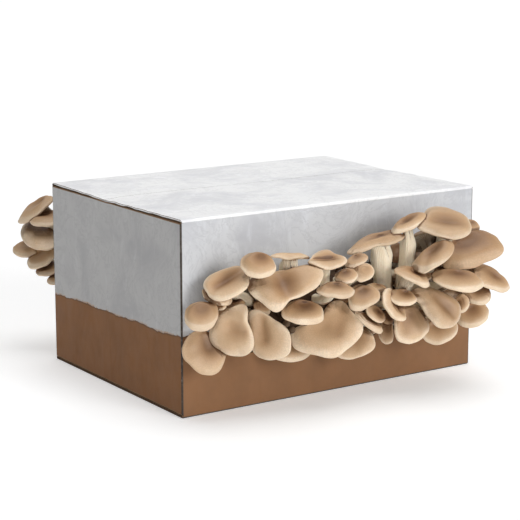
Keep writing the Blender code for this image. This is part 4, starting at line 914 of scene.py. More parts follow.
        "edge": ((290.5, 333), (296, 328), (305, 326.5), (314, 325.5), (321, 322), (323.5, 314),
                 (327, 306), (331, 302), (337, 300.5), (343, 301.5), (348, 305), (351, 311),
                 (356, 315.5), (360, 321), (363, 327), (363, 332.5), (360, 338), (355, 343),
                 (349, 348), (343, 352.5), (337, 357), (331, 358.5), (323, 358), (316, 355.5),
                 (308, 354), (300, 352.5), (293.5, 349), (291, 342)),
        "aside": 0.10, "turn": 160, "dip": 0.06, "crown": 0.09, "curl": 0.09, "lean": 42,
        "shade": 0.06, "pale": 0.38,
        "valley": ((344, 312), (337, 336), 6.0, 0.05)}),
    "behind_bottom": (357, 343, 20, 15, 28, 34, {
        "edge": ((337, 350), (340, 341), (347, 334), (355, 329), (362, 328), (368, 331),
                 (372, 336), (375, 343), (374, 349), (370, 353), (362, 357), (353, 359.5),
                 (345, 359.5), (338, 358)),
        "crown": 0.09, "curl": 0.09, "lean": 22, "stem": 5.0, "shade": 0.0, "dip": 0.08}),
}

# Small ones that fill the gaps, each beside the neighbour whose node it belongs to. Those with a
# dim or a pale below zero are darkened with painted shade, as their gaps lie in shadow.
fillingCaps = {
    "small_knob": ("left_horned", (222, 306, 5, 3.8, 20, 30, {"stem": 3.0, "pale": 0.4})),
    "under_funnel": ("upper_left_funnel", (235, 303.5, 10, 4, 5, 22, {"stem": 3.5, "pale": -0.2})),
    "deep_left": ("middle_low", (262, 308, 9, 6, -35, 22, {"stem": 4.0, "shade": 0.6})),
    "deep_middle": ("flat_oval", (323, 299.5, 8, 4.5, 0, 28, {"stem": 4.0})),
    "under_oval": ("middle_round", (341, 300, 7, 4, -5, 34, {"stem": 3.5, "pale": -0.6})),
    "between_stems": ("long_side_view", (395, 252, 6.5, 10, 0, 26, {
        "lean": 30, "stem": 3.5, "pale": -0.8})),
    "behind_stem": ("gilled_behind", (418, 254, 9, 9, 0, 24, {
        "lean": 35, "stem": 3.5, "dim": 0.55})),
    "nub_under_slanted": ("right_slanted", (425, 275.5, 5.5, 4, -20, 66, {
        "stem": 3.5, "pale": 0.3})),
    "deep_right": ("right_folded", (446, 292, 17, 7, -14, 50, {"stem": 4.5, "dim": 0.45})),
    "under_right_large": ("right_large", (462, 269, 17, 5.5, 8, 56, {"stem": 4.0, "dim": 0.35})),
    "under_slanted": ("right_slanted", (440, 270, 12, 6, 0, 50, {"stem": 4.0, "dim": 0.5})),
    "low_between": ("pale_rim", (370, 331, 7, 4, 0, 34, {"stem": 3.5})),
    "deep_low": ("crescent", (387, 318, 7, 6, -40, 40, {"stem": 4.0, "pale": -0.4})),
}

# The caps of the back cluster that show past the left side; the reach is out of the back. Their
# pale is painted light, making up for light that this side lacks.
backCaps = {
    "high": (38, 209.5, 20.5, 5, 37, 74, {"aside": 0.5, "turn": 0, "stem": 5.0, "pale": 0.25}),
    "under_high": (50, 219, 17, 6, 8, 52, {"stem": 5.0, "pale": 0.25}),
    "large": (42, 235, 19, 14, -12, 66, {
        "crown": 0.26, "dip": 0.0, "shade": -0.05, "stem": 5.0, "pale": 0.55}),
    "leftmost": (29, 249, 14, 7, 6, 88, {"stem": 5.0, "pale": 0.40}),
    "slanted": (43, 258, 15, 8, 30, 64, {"stem": 5.0, "pale": 0.45}),
    "low": (49, 269, 12, 6, 15, 56, {"stem": 4.5, "pale": 0.40}),
    "lowest": (57, 279, 9, 5, 20, 40, {"stem": 4.0, "pale": 0.40}),
}

# The rest of the back cluster: x and z of the cap's middle and its reach, the half width and
# depth of the cap, in mm, the heading of its axis from straight out and its rise, in degrees.
backCapsBehind = {
    "wide": (-70, 128, 66, 32, 27, 10, 62, {"lobes": ((3, 0.06, 40),)}),
    "front": (-95, 92, 72, 27, 24, 25, 48, {"lobes": ((2, 0.06, 20),)}),
    "middle": (-24, 103, 60, 29, 26, -14, 52, {"lobes": ((3, 0.07, 90),)}),
    "hanging": (-62, 66, 50, 31, 27, 8, 32, {"lobes": ((2, 0.07, 45),)}),
    "small_over": (-30, 142, 44, 18, 15, -20, 66, {}),
    "right_round": (22, 82, 46, 24, 21, -24, 42, {"lobes": ((3, 0.05, 10),)}),
    "right_small": (24, 120, 38, 17, 15, -28, 60, {}),
}
lump = {
    "tall": 33.0 * mm,       # half height of the grown-together foot
    "reach": 36.0 * mm,      # how far it stands out of the carton
    "clear": 10.0 * mm,      # from its end to the window's
    "spread": 0.8,           # how far along it, and up it, the stems start: shares of the way
    "rise": 0.4,             # that their caps lie from its middle
}
# each foot's place along the carton and its half length
lumps = {where: (aside, long / 2 - lump["clear"]) for where, _, (aside, long) in windows}


def seenAt(column, row, reach, side):
    # the point seen at a place of the photograph, reach mm out of the carton
    ray = (rightward * (column - photo["middle"]) - upward * (row - photo["horizon"])
           - backward * photo["focal"])
    plane = side * (carton["deep"] / 2 + reach * mm)
    return eye + ray * ((plane - eye[1]) / ray[1])


def onCap(points, column, row, wide, tall, slant):
    # places of the photograph as shares of the way from the cap's middle to its edge
    turn = math.radians(slant)
    right, up = np.array(points, float)[:, 0] - column, row - np.array(points, float)[:, 1]
    return ((right * math.cos(turn) + up * math.sin(turn)) / wide,
            (up * math.cos(turn) - right * math.sin(turn)) / tall)


def smoothCurve(t, begin, end, pull, lastPull):
    # from begin to end for t from 0 to 1, leaving along pull and arriving along lastPull
    return ((2 * t ** 3 - 3 * t ** 2 + 1) * begin + (t ** 3 - 2 * t ** 2 + t) * pull
            + (3 * t ** 2 - 2 * t ** 3) * end + (t ** 3 - t ** 2) * lastPull)


def nearestOn(first, last, points):
    # the place of a segment that each point is nearest to, and how far off it is
    span = last - first
    t = ((points - first) @ span / (span @ span)).clip(0, 1)
    spot = first + t[:, None] * span
    return spot, np.linalg.norm(points - spot, axis=1)


def edgeSwell(angle, edge, picture):
    # how far the outline lies beyond the cap's oval, by a smooth curve through its points
    first, second = onCap(edge, *picture)
    order = np.argsort(np.arctan2(second, first))
    where, swell = np.arctan2(second, first)[order], np.hypot(first, second)[order]
    around = 2 * math.pi
    where = np.concatenate([where - around, where, where + around])
    swell = np.tile(swell, 3)
    slope = np.gradient(swell, where)
    spot = np.mod(angle + math.pi, around) - math.pi
    left = np.searchsorted(where, spot, side="right") - 1
    width = where[left + 1] - where[left]
    t = (spot - where[left]) / width
    return smoothCurve(t, swell[left], swell[left + 1], width * slope[left],
                       width * slope[left + 1])


def smoothRound(swell, waves):
    # keeps the waves of a closed curve that are longer than a turn / waves
    parts = np.fft.rfft(swell)
    return np.fft.irfft(parts * np.exp(-(np.arange(len(parts)) / waves) ** 2), len(swell))


def outlineSwell(angle, shape, place, axes, size):
    # the outline at the margin, and the rounder one that it grows from
    swell = np.ones_like(angle)
    if shape["edge"]:
        swell = edgeSwell(angle, shape["edge"], shape["picture"])
    for count, depth, where in shape["lobes"]:
        swell = swell + depth * np.cos(count * (angle - math.radians(where)))
    if shape["picture"]:
        swell = swell * seenShare(angle, swell, shape, place, axes, size)
    return smoothRound(swell, 12.0), smoothRound(swell, 1.8)


def seenShare(angle, swell, shape, place, axes, size):
    # the dome may reach past its own far margin, which then lies within the outline seen
    across, along, normal = axes
    sight = unit(eye - place)
    turn = math.radians(shape["turn"])
    middle = shape["aside"] * (size[0] * math.cos(turn) * across + size[1] * math.sin(turn) * along)
    rim = ((size[0] * np.cos(angle) * swell)[:, None] * across
           + (size[1] * np.sin(angle) * swell)[:, None] * along)
    rim = rim - (rim @ sight)[:, None] * sight
    far = np.linalg.norm(rim, axis=1)
    outwards = rim / far[:, None]
    share = np.linspace(0.35, 1.0, 14)[:, None]
    plan = np.zeros((len(share), 1, 2))
    height = crownHeight(share, plan, size, shape)
    kept = (far - height * (outwards @ normal) - (1 - share) * (outwards @ middle)) / (share * far)
    return kept.min(axis=0).clip(0.55, 1.0)


def valleyAt(plan, size, shape):
    # 1 along the sunk line and 0 away from it
    if not shape["valley"]:
        return np.zeros(len(plan))
    first, last, halfWidth, _ = shape["valley"]
    ends = np.stack(onCap((first, last), *shape["picture"]), -1) * size
    _, away = nearestOn(*ends, plan)
    return np.exp(-(away / (halfWidth * size[0] / shape["picture"][2])) ** 2)


def crownHeight(share, plan, size, shape):
    # height of the cap's upper side: share is 0 over the stem and 1 at the margin
    halfWide, halfTall = size
    height = shape["crown"] * (1 - share ** 3.2)
    height = height - shape["dip"] * np.exp(-(share / 0.42) ** 2)
    height = height + shape["curl"] * (1 - np.clip((share - 0.6) / 0.4, 0, 1) ** 2.4)
    height = height + shape["bend"] * ((plan[..., 0] / halfWide) ** 2 - 0.3)
    return height * 0.5 * (halfWide + halfTall)


def stemPath(start, down, foot, count):
    span = np.linalg.norm(foot - start)
    first = start + down * span * 0.45
    second = foot + (start - foot) * 0.25
    steps = np.linspace(0, 1, count)[:, None]
    points = ((1 - steps) ** 3 * start + 3 * (1 - steps) ** 2 * steps * first
              + 3 * (1 - steps) * steps ** 2 * second + steps ** 3 * foot)
    ways = np.gradient(points, axis=0)
    return points, ways / np.linalg.norm(ways, axis=1)[:, None]


def capAxes(place, slant, lean, outward):
    # the axes of a cap whose outline is slanted in the photograph and leans away from it
    turn, tip = math.radians(slant), math.radians(lean)
    sight = unit(eye - place)
    across = rightward * math.cos(turn) + upward * math.sin(turn)
    across = unit(across - sight * (across @ sight))
    rise = np.cross(sight, across)
    normal = sight * math.cos(tip) + rise * math.sin(tip)
    along = rise * math.cos(tip) - sight * math.sin(tip)
    turned = unit(normal + outward)
    if sight @ turned > 0.3:
        across = across - sight * ((across @ turned) / (sight @ turned))
        along = along - sight * ((along @ turned) / (sight @ turned))
        normal = turned
    return across, along, normal


def footPoint(place, side, aside, long):
    # a stem starts on the part of the foot that is nearest to its cap
    alongMost, upMost = 0.9 * long, 0.7 * lump["tall"]
    x = aside + float(np.clip((place[0] - aside) * lump["spread"], -alongMost, alongMost))
    z = carton["windowMiddle"] + float(
        np.clip((place[2] - carton["windowMiddle"]) * lump["rise"], -upMost, upMost))
    reach = min(0.3 * lump["reach"], 0.25 * (side * place[1] - carton["deep"] / 2))
    return np.array([x, side * (carton["deep"] / 2 + reach), z])


def smoothstep(low, high, value):
    t = np.clip((value - low) / (high - low), 0, 1)
    return t * t * (3 - 2 * t)


def capSkin(place, axes, size, foot, shape, chance):
    # rings of points from the crown down to the foot, with what each point needs besides
    across, along, normal = axes
    halfWide, halfTall = size
    perimeter = 2 * math.pi * math.sqrt(0.5 * (halfWide ** 2 + halfTall ** 2))
    gills = max(capMesh["leastGills"], round(perimeter / capMesh["gillSpacing"]))
    count = 3 * gills
    angle = np.arange(count) * 2 * math.pi / count
    turn = math.radians(shape["turn"])
    middle = shape["aside"] * np.array([halfWide * math.cos(turn), halfTall * math.sin(turn)])
    outer, inner = outlineSwell(angle, shape, place, axes, size)
    oval = np.stack([halfWide * np.cos(angle), halfTall * np.sin(angle)], -1)
    # the margin is never quite even
    ripple = sum(chance.uniform(0.02, 0.06) / n * np.cos(n * angle + chance.uniform(0, 6.28))
                 for n in (4, 5, 7, 9, 13))
    outer = outer * (1 + ripple)
    flutter = sum(chance.uniform(0.004, 0.016) * np.cos(n * angle + chance.uniform(0, 6.28))
                  for n in (3, 4, 6, 8))
    swells = [(chance.uniform(0.006, 0.016), chance.uniform(-1, 1), chance.uniform(-1, 1),
               chance.uniform(0, 6.28)) for _ in range(5)]
    thick = min(shape["thick"] * mm, capMesh["thickestMargin"] * min(size))
    stemRadius = min(shape["stem"] * mm, capMesh["thickestStem"] * min(size))
    mean = 0.5 * (halfWide + halfTall)

    def planAt(share, stretch=1.0):
        rim = oval * (inner + (outer - inner) * share ** 2.5)[:, None]
        return middle * (1 - share)[:, None] + rim * (share * stretch)[:, None]

    def surface(share, drop, stretch=1.0):
        share = np.full(count, share)
        plan = planAt(share, stretch)
        height = crownHeight(share, plan, size, shape) + 0.5 * thick
        if shape["valley"]:
            sunk = mean * shape["valley"][3] * valleyAt(plan, size, shape)
            height = height - sunk * (1 - share ** 8)
        height = height + mean * flutter * share ** 3
        for tall, kx, ky, phase in swells:
            height = height + mean * tall * np.sin(
                5.5 * (kx * plan[:, 0] + ky * plan[:, 1]) / mean + phase) * share
        height = height - drop
        return place + plan[:, :1] * across + plan[:, 1:] * along + height[:, None] * normal

    rings, shares, ridges, sides, pales = [], [], [], [], []
    reach = max(size) * float(np.linalg.norm(upward - (upward @ axes[2]) * axes[2]))

    def paleness(points, share):
        # palest at the margin, and darker round the stem, in the valley and on the far side: the
        # stem's darkening is its own colour, the valley's and far side's are painted shade, and the
        # pale margin is partly a painted highlight
        level = 0.30 + 0.70 * share if shape["valley"] else share
        far = (points - place) @ upward / reach
        level = (level - shape["shade"] * far
                 - 0.37 * valleyAt(planAt(share), size, shape) * (1 - share ** 4)).clip(0, 1)
        return level + shape["pale"] * ((1 - level) if shape["pale"] > 0 else 1)

    def addRing(points, share, ridge, side):
        rings.append(points)
        shares.append(np.full(count, share))
        pales.append(paleness(points, np.full(count, share)) if side < 2 else np.zeros(count))
        ridges.append(ridge if isinstance(ridge, np.ndarray) else np.full(count, ridge))
        sides.append(side)

    last = capMesh["marginShare"]
    for step in range(1, capMesh["topRings"] + 1):
        share = last * (step / capMesh["topRings"]) ** 0.85
        addRing(surface(share, 0.0), share, 0.0, 0)
    for step in (1, 2, 3, 4, 5):
        bend = math.pi * step / 6
        share = last + 0.42 * thick * math.sin(bend) / mean
        addRing(surface(last, thick * 0.5 * (1 - math.cos(bend)),
                        share / last), 1.0, 0.0, 0 if step < 4 else 1)
    # gills: every third meridian is one, and every second gill is short
    kind = np.arange(count) % 6
    full, short = (kind == 0).astype(float), (kind == 3).astype(float)
    lowest = capMesh["gillsEnd"]
    for share in np.linspace(last - 0.02, lowest, capMesh["underRings"]):
        rise = smoothstep(last, last - 0.12, share)
        shorten = smoothstep(lowest - 0.1, lowest + 0.25, share)
        drop = thick * (0.9 + 1.2 * (1 - share))
        addRing(surface(share, drop), share, rise * (full + short * shorten), 1)
    # the gills run down on to the stem
    throat = crownHeight(np.zeros(1), middle[None], size, shape)[0]
    start = (place + middle[0] * across + middle[1] * along
             + (throat - 2.6 * thick) * normal)
    total = capMesh["stemRings"] + 3
    path, ways = stemPath(start, unit(unit(foot - start) - normal), foot, total)
    flat = chance.uniform(0.05, 0.12)
    ovalTurn = chance.uniform(0, 6.28)
    knots = 1 + flat * np.cos(2 * angle + ovalTurn) + 0.05 * np.cos(3 * angle + 2 * ovalTurn)
    knots = knots + 0.03 * np.cos(7 * angle + ovalTurn)

    def stemRing(number):
        first = across - ways[number] * (across @ ways[number])
        first = first / np.linalg.norm(first)
        second = np.cross(first, ways[number])
        part = number / (total - 1)
        grown = stemRadius * (1.02 - 0.16 * math.sin(math.pi * min(1.0, part * 1.1))
                              + shape["flare"] * (1 - part) ** 2)
        return path[number] + (grown * knots)[:, None] * (
            np.cos(angle)[:, None] * first + np.sin(angle)[:, None] * second)

    joined = 3
    begin, end = rings[-1], stemRing(joined)
    reachOut = np.linalg.norm(end - begin, axis=1)[:, None]
    firstPull = rings[-1] - rings[-2]
    firstPull = firstPull / np.linalg.norm(firstPull, axis=1)[:, None] * reachOut * 1.1
    lastPull = ways[joined] * reachOut
    for step in range(1, capMesh["flareRings"] + 1):
        t = step / (capMesh["flareRings"] + 1)
        points = smoothCurve(t, begin, end, firstPull, lastPull)
        addRing(points, lowest * (1 - t), full * (1 - 0.35 * t), 1 + t)
    for number in range(joined, total):
        part = (number - joined) / (total - 1 - joined)
        addRing(stemRing(number), 0.0, full * (0.65 - 0.45 * part), 2)
    top = surface(0.0, 0.0)[0]
    tip = path[-1] + ways[-1] * 0.3 * stemRadius
    return rings, shares, ridges, sides, pales, angle, top, tip


def makeMushroom(name, node, place, axes, size, foot, shape, look):
    chance = np.random.default_rng(sum(ord(letter) * (n + 3) for n, letter in enumerate(name)))
    rings, shares, ridges, sides, pales, angle, top, tip = capSkin(place, axes, size, foot, shape,
                                                                   chance)
    count, ringCount = len(angle), len(rings)
    here = np.arange(count)
    following = (here + 1) % count
    crown, toe = ringCount * count, ringCount * count + 1
    faces = [(crown, a, b) for a, b in zip(here.tolist(), following.tolist())]
    flesh = [0.0] * count
    for ring in range(ringCount - 1):
        low, high = ring * count, (ring + 1) * count
        faces += list(zip((low + here).tolist(), (high + here).tolist(),
                          (high + following).tolist(), (low + following).tolist()))
        flesh += [1.0 if sides[ring + 1] and sides[ring] else 0.0] * count
    final = (ringCount - 1) * count
    faces += [(toe, final + b, final + a) for a, b in zip(here.tolist(), following.tolist())]
    flesh += [1.0] * count
    mesh = bpy.data.meshes.new(name)
    mesh.from_pydata([*np.concatenate(rings).tolist(), top.tolist(), tip.tolist()], [], faces)

    def perPoint(rows, atCrown=0.0, atToe=0.0):
        return np.concatenate([*rows, [atCrown, atToe]])

    def perRing(values, atToe):
        return perPoint([np.full(count, float(value)) for value in values], 0.0, atToe)

    storeFloat(mesh, "pale", perPoint(pales, pales[0].mean()))
    storeFloat(mesh, "down", perRing(sides, 2.0))
    storeFloat(mesh, "gill", perPoint(ridges))
    storeFloat(mesh, "flesh", flesh, "FACE")
    storeFloat(mesh, "tone", np.full(toe + 1, chance.uniform(0.0, 1.0)))
    storeFloat(mesh, "dim", np.full(toe + 1, shape["dim"]))
    turns = perPoint([angle] * ringCount)
    level = perRing(range(ringCount), float(ringCount))
    height = 0.05 * level + 0.2 * (0.2 + perPoint(shares))
    storeVector(mesh, "around", np.stack([np.cos(turns), np.sin(turns), height], -1))
    piece = addObject(name, mesh)
    gillDepth = min(capMesh["gillDepth"], capMesh["deepestGill"] * min(size))
    growWith(piece, look["tree"], {"Skin": look["skin"], "Flesh": look["flesh"],
                                   "Gill Depth": gillDepth})
    shadeSmooth(piece)
    standsFor(piece, node)
    return piece


def shadeFromNeighbours(pieces):
    # painted shade: how shut in each place of a mushroom is, 0 in the open and 1 where others crowd
    # it; the skin and flesh are darkened by it
    corners = [getPoints(piece.data) for piece in pieces]
    faces, first = [], 0
    for piece in pieces:
        faces += [[first + corner for corner in face.vertices] for face in piece.data.polygons]
        first += len(piece.data.vertices)
    everything = BVHTree.FromPolygons(np.concatenate(corners).tolist(), faces)
    reach = capMesh["crowdShadeReach"]
    for piece, points in zip(pieces, corners):
        normals = getPoints(piece.data, "normal")
        aside = np.cross(normals, (0.31, 0.42, 0.85))
        aside /= np.linalg.norm(aside, axis=1)[:, None]
        above = np.cross(normals, aside)
        starts = points + normals * capMesh["crowdShadeLift"]
        crowdShade = np.zeros(len(points))
        for tip, turn in ((0, 0), (55, 0), (55, 72), (55, 144), (55, 216), (55, 288)):
            tip, turn = math.radians(tip), math.radians(turn)
            ways = normals * math.cos(tip) + math.sin(tip) * (
                aside * math.cos(turn) + above * math.sin(turn))
            far = [everything.ray_cast(start, way, reach)[3]
                   for start, way in zip(starts.tolist(), ways.tolist())]
            crowdShade += [0.0 if away is None else 1.0 - away / reach for away in far]
        storeFloat(piece.data, "crowdShade", crowdShade / 6)


def seenMushroom(name, node, side, spot, values, look):
    column, row, wide, tall, slant, reach, changes = values
    shape = {**capShape, **changes}
    shape["picture"] = (column, row, wide, tall, slant)
    place = seenAt(column, row, reach, side)
    scale = float((eye - place) @ backward) / photo["focal"]
    lean = shape["lean"]
    if lean is None:
        lean = math.degrees(math.acos(min(max(tall / wide, 0.30), 0.92)))
    axes = capAxes(place, slant, lean, shape["outward"] * np.array([0.0, side, 0.0]))
    deep = shape["deep"] or tall * scale / max(math.cos(math.radians(lean)), 0.25)
    foot = seenAt(*shape["foot"], side) if shape["foot"] else footPoint(place, side, *spot)
    return makeMushroom(name, node, place, axes, (wide * scale, deep), foot, shape, look)


def behindMushroom(name, node, side, spot, values, look):
    x, z, reach, wide, deep, heading, rise, changes = values
    shape = {**capShape, "turn": -90.0, "picture": None, **changes}
    place = np.array([x * mm, side * (carton["deep"] / 2 + reach * mm), z * mm])
    turn, tip = math.radians(heading), math.radians(rise)
    out = np.array([-side * math.sin(turn), side * math.cos(turn), 0.0])
    normal = out * math.cos(tip) + np.array([0, 0, math.sin(tip)])
    down = out * math.sin(tip) - np.array([0, 0, math.cos(tip)])
    axes = (np.cross(down, normal), down, normal)
    return makeMushroom(name, node, place, axes, (wide * mm, deep * mm),
                        footPoint(place, side, *spot), shape, look)


def growCluster(where, side, groups, look):
    # groups are pairs of a way to make mushrooms and the caps that are made so
    grown = []
    for make, caps in groups:
        for name, values in caps.items():
            node, values = values if len(values) == 2 else (name, values)
            grown.append(make(f"oyster_{where}_{name}", f"{where}_mushroom_{node}", side,
                              lumps[where], values, look))
    shadeFromNeighbours(grown)
    print(where, "cluster")


def gillTree():
    # raises every gill out of the underside, then dresses skin and flesh
    tree, given, result = newTree("gillTree", (
        ("Gill Depth", "Float", capMesh["gillDepth"]), ("Skin", "Material", None),
        ("Flesh", "Material", None)))
    normal = startValue(tree, "GeometryNodeInputNormal")
    shift = valueOf("ShaderNodeVectorMath", {
        0: normal, "Scale": namedOf(tree, "gill") * given["Gill Depth"]}, operation="SCALE")
    raised = valueOf("GeometryNodeSetPosition", {"Geometry": given["Geometry"], "Offset": shift})
    whole = valueOf("GeometryNodeRealizeInstances", {0: raised})
    skinned = dressed(whole, given["Skin"])
    isFlesh = overHalf(namedOf(tree, "flesh"))
    setInputs(result, {0: dressed(skinned, given["Flesh"], Selection=isFlesh)})
    return tree


capFinish = {
    # the dark brown of painted shade, for caps that lie in shadow
    "paintedShadeBrown": (0.10, 0.055, 0.03),
    "stops": ((0.00, (0.22, 0.110, 0.050)), (0.27, (0.36, 0.200, 0.097)),
              (0.52, (0.49, 0.300, 0.160)), (0.75, (0.59, 0.385, 0.222)),
              (0.90, (0.70, 0.495, 0.312)), (1.00, (0.88, 0.710, 0.520))),
    "greyBrown": (0.46, 0.31, 0.19),
}


def capMaterial():
    material, shader, place = newMaterial("capSkin", 0.46, 0.4)
    pale, dim, tone, crowdShade = (attributeOf(place.tree, name)
                              for name in ("pale", "dim", "tone", "crowdShade"))
    blotch = noiseOf(place, 55.0, 4.0, 0.55)
    fibres = noiseOf(attributeOf(place.tree, "around", "Vector"), 22.0, 4.0, 0.6)
    # a cap is darkest round its stem and towards its far side, palest along the near margin; the
    # far side is painted shade, and the margin partly a painted highlight
    level = mathOf("ADD", pale, (blotch - 0.5) * 0.22, clamp=True)
    # painted shade all over caps that lie in shadow
    colour = mixColour(dim, rampOf(level, capFinish["stops"]), capFinish["paintedShadeBrown"])
    colour = mixColour(rangeOf(tone, 0.0, 1.0, 0.0, 0.30), colour, capFinish["greyBrown"])
    # painted shade where neighbours crowd the skin
    crowdShaded = rangeOf(crowdShade, 0.05, 0.40, 0.0, 0.90)
    colour = mixColour(crowdShaded, colour, (0.26, 0.16, 0.09), "MULTIPLY")
    streak = rangeOf(fibres, 0.35, 0.70, 0.90, 1.06)
    relief = fibres * 0.7 + noiseOf(place, 700.0, 3.0) * 0.3
    setInputs(shader, {
        "Base Color": mixColour(1.0, colour, streak, "MULTIPLY"),
        "Normal": bumpOf(relief, 0.25 * mm, 0.5),
        "Roughness": rangeOf(blotch, 0.3, 0.8, 0.40, 0.56), "Subsurface Weight": 0.06,
        "Subsurface Radius": (1.0, 0.5, 0.25), "Subsurface Scale": 3.0 * mm})
    return material


def shadeNearBlock(place, colour, low, high, least):
    # painted shade: flesh is darker and browner where it leaves the block, deep in the cluster, and
    # unshaded further out
    out = mathOf("ABSOLUTE", valueOf("ShaderNodeSeparateXYZ", {0: place}, "Y"))
    outOfShade = rangeOf(out - carton["deep"] / 2, low, high)
    return mixColour(outOfShade, mixColour(1.0, colour, least, "MULTIPLY"), colour)


def gillMaterial():
    material, shader, place = newMaterial("gillFlesh", 0.66, 0.3)
    ridge, down, dim, crowdShade = (attributeOf(place.tree, name)
                               for name in ("gill", "down", "dim", "crowdShade"))
    blotch = noiseOf(place, 80.0, 4.0, 0.6)
    fibres = noiseOf(attributeOf(place.tree, "around", "Vector"), 40.0, 3.0, 0.6)
    # darker between the gills: painted shade
    colour = rampOf(ridge, ((0.0, (0.62, 0.48, 0.33)), (0.45, (0.90, 0.81, 0.65))))
    stem = rampOf(ridge * 0.5 + fibres * 0.8, ((0.22, (0.82, 0.64, 0.44)),
                                               (0.45, (1.00, 0.89, 0.70))))
    stained = rangeOf(blotch, 0.48, 0.80, 0.0, 0.45)
    colour = mixColour(stained, colour, (0.50, 0.36, 0.23))
    colour = mixColour(rangeOf(down, 1.0, 2.0), colour, stem)
    colour = shadeNearBlock(place, colour, 2 * mm, 17 * mm, (0.28, 0.19, 0.13))
    # painted shade all over flesh that lies in shadow
    colour = mixColour(dim, colour, capFinish["paintedShadeBrown"])
    # painted shade where neighbours crowd the flesh
    crowdShaded = rangeOf(crowdShade, 0.32, 0.64, 0.0, 0.90)
    colour = mixColour(crowdShaded, colour, (0.25, 0.14, 0.07), "MULTIPLY")
    setInputs(shader, {
        "Base Color": colour, "Normal": bumpOf(fibres, 0.5 * mm, 0.6),
        "Subsurface Weight": 0.10, "Subsurface Radius": (1.0, 0.6, 0.35),
        "Subsurface Scale": 3.0 * mm})
    return material


# the foot of each cluster, where its stems have grown together

def makeFoot(name, node, side, spot, material):
    aside, long = spot
    work = bmesh.new()
    bmesh.ops.create_icosphere(work, subdivisions=6, radius=1.0)
    piece = fromWork(name, work)
    along, out, up = getPoints(piece.data).T
    low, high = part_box(node)
    face = carton["deep"] / 2
    root = (high.y if side < 0 else low.y) * side
    bulge = 1 + 0.07 * np.sin(5.1 * along + 2.3 * up)
    bulge = bulge + 0.05 * np.sin(7.3 * up - 3.1 * along + 1.0)
    # stems stand side by side along the foot
    stems = np.abs(np.sin(19.0 * along + 1.7 * np.sin(4.0 * up)))
    knobs = 0.5 + 0.5 * np.sin(23.0 * along - 4.0) * np.sin(9.0 * up + 2.0)
    size = bulge - np.where(out > 0, 0.10 * (1 - stems ** 0.6) + 0.05 * knobs, 0.0)
    x = aside + along * long * bulge
    y = np.where(out < 0, root + (face - root) * (1 + out), face + out * lump["reach"] * size)
    z = carton["windowMiddle"] + up * lump["tall"] * bulge
    setPoints(piece.data, np.stack([x, side * y, z], -1))
    if side < 0:
        piece.data.flip_normals()
    piece.data.materials.append(material)
    shadeSmooth(piece)
    standsFor(piece, node)
    return piece


def footMaterial():
    material, shader, place = newMaterial("footFlesh", 0.75, 0.25)
    blotch = noiseOf(place, 60.0, 5.0, 0.6)
    fibres = noiseOf(stretched(place, (1.0, 1.0, 0.25)), 420.0, 4.0, 0.6)
    # a dark brown that is painted shade, as the foot lies deep in the cluster
    colour = rampOf(blotch, ((0.30, (0.15, 0.095, 0.055)), (0.52, (0.32, 0.225, 0.145)),
                             (0.72, (0.52, 0.42, 0.30))))
    colour = shadeNearBlock(place, colour, 22 * mm, 60 * mm, (0.16, 0.11, 0.08))
    setInputs(shader, {"Base Color": colour, "Normal": bumpOf(fibres + blotch, 0.8 * mm, 0.6)})
    return material


# substrate block: grain bound by white mycelium, with straw lying in it

substrate = {
    "round": 14.0 * mm,
    "grid": 3.0 * mm,          # size of the faces that carry the dents
    "hollows": 2.4 * mm,       # depth of the dents in its sides
    "slitEdge": 6.0 * mm,      # film left inside the window's edge
    "straws": 9000.0,          # to the square metre
    "strawLong": 11.0 * mm,
    "strawWide": 1.3 * mm,
    "strawSunk": 0.9 * mm,     # from the block's box to the sheet that carries them
    "mycelium": (0.80, 0.76, 0.67),
    "grain": (0.34, 0.215, 0.115),
    "straw": (0.58, 0.42, 0.20),
}


def roundNoise(points, scale, depth):
    return np.array([noise.fractal(Vector(point) * scale, 0.7, 2.0, depth) for point in points])


def makeBlock(material):
    block, points, normals = boxPiece("mycelium_block", "substrate_block", substrate)
    dents = np.clip(0.5 + 0.6 * roundNoise(points, 38.0, 4), 0, 1)
    dents = dents + 0.35 * np.clip(0.5 + 0.6 * roundNoise(points, 170.0, 2), 0, 1)
    setPoints(block.data, points - normals * (substrate["hollows"] * dents / 1.35)[:, None])
    block.data.materials.append(material)
    shadeSmooth(block)
    standsFor(block, "substrate_block")


def blockMaterial():
    material, shader, place = newMaterial("myceliumBlock", 0.92, 0.15)
    grains = valueOf("ShaderNodeTexVoronoi", {"Vector": place, "Scale": 230.0}, "Distance")
    web = noiseOf(place, 45.0, 6.0, 0.68, 0.6)
    fuzz = noiseOf(place, 600.0, 4.0, 0.7)
    grain = mixColour(rangeOf(grains, 0.1, 0.6), substrate["grain"], (0.20, 0.125, 0.07))
    colour = mixColour(rangeOf(web, 0.40, 0.60), substrate["mycelium"], grain)
    colour = mixColour(rangeOf(fuzz, 0.45, 0.70, 0.0, 0.35), colour, (0.62, 0.55, 0.45))
    relief = grains * -1.0 + fuzz
    setInputs(shader, {"Base Color": colour, "Normal": bumpOf(relief, 1.0 * mm, 0.8)})
    return material


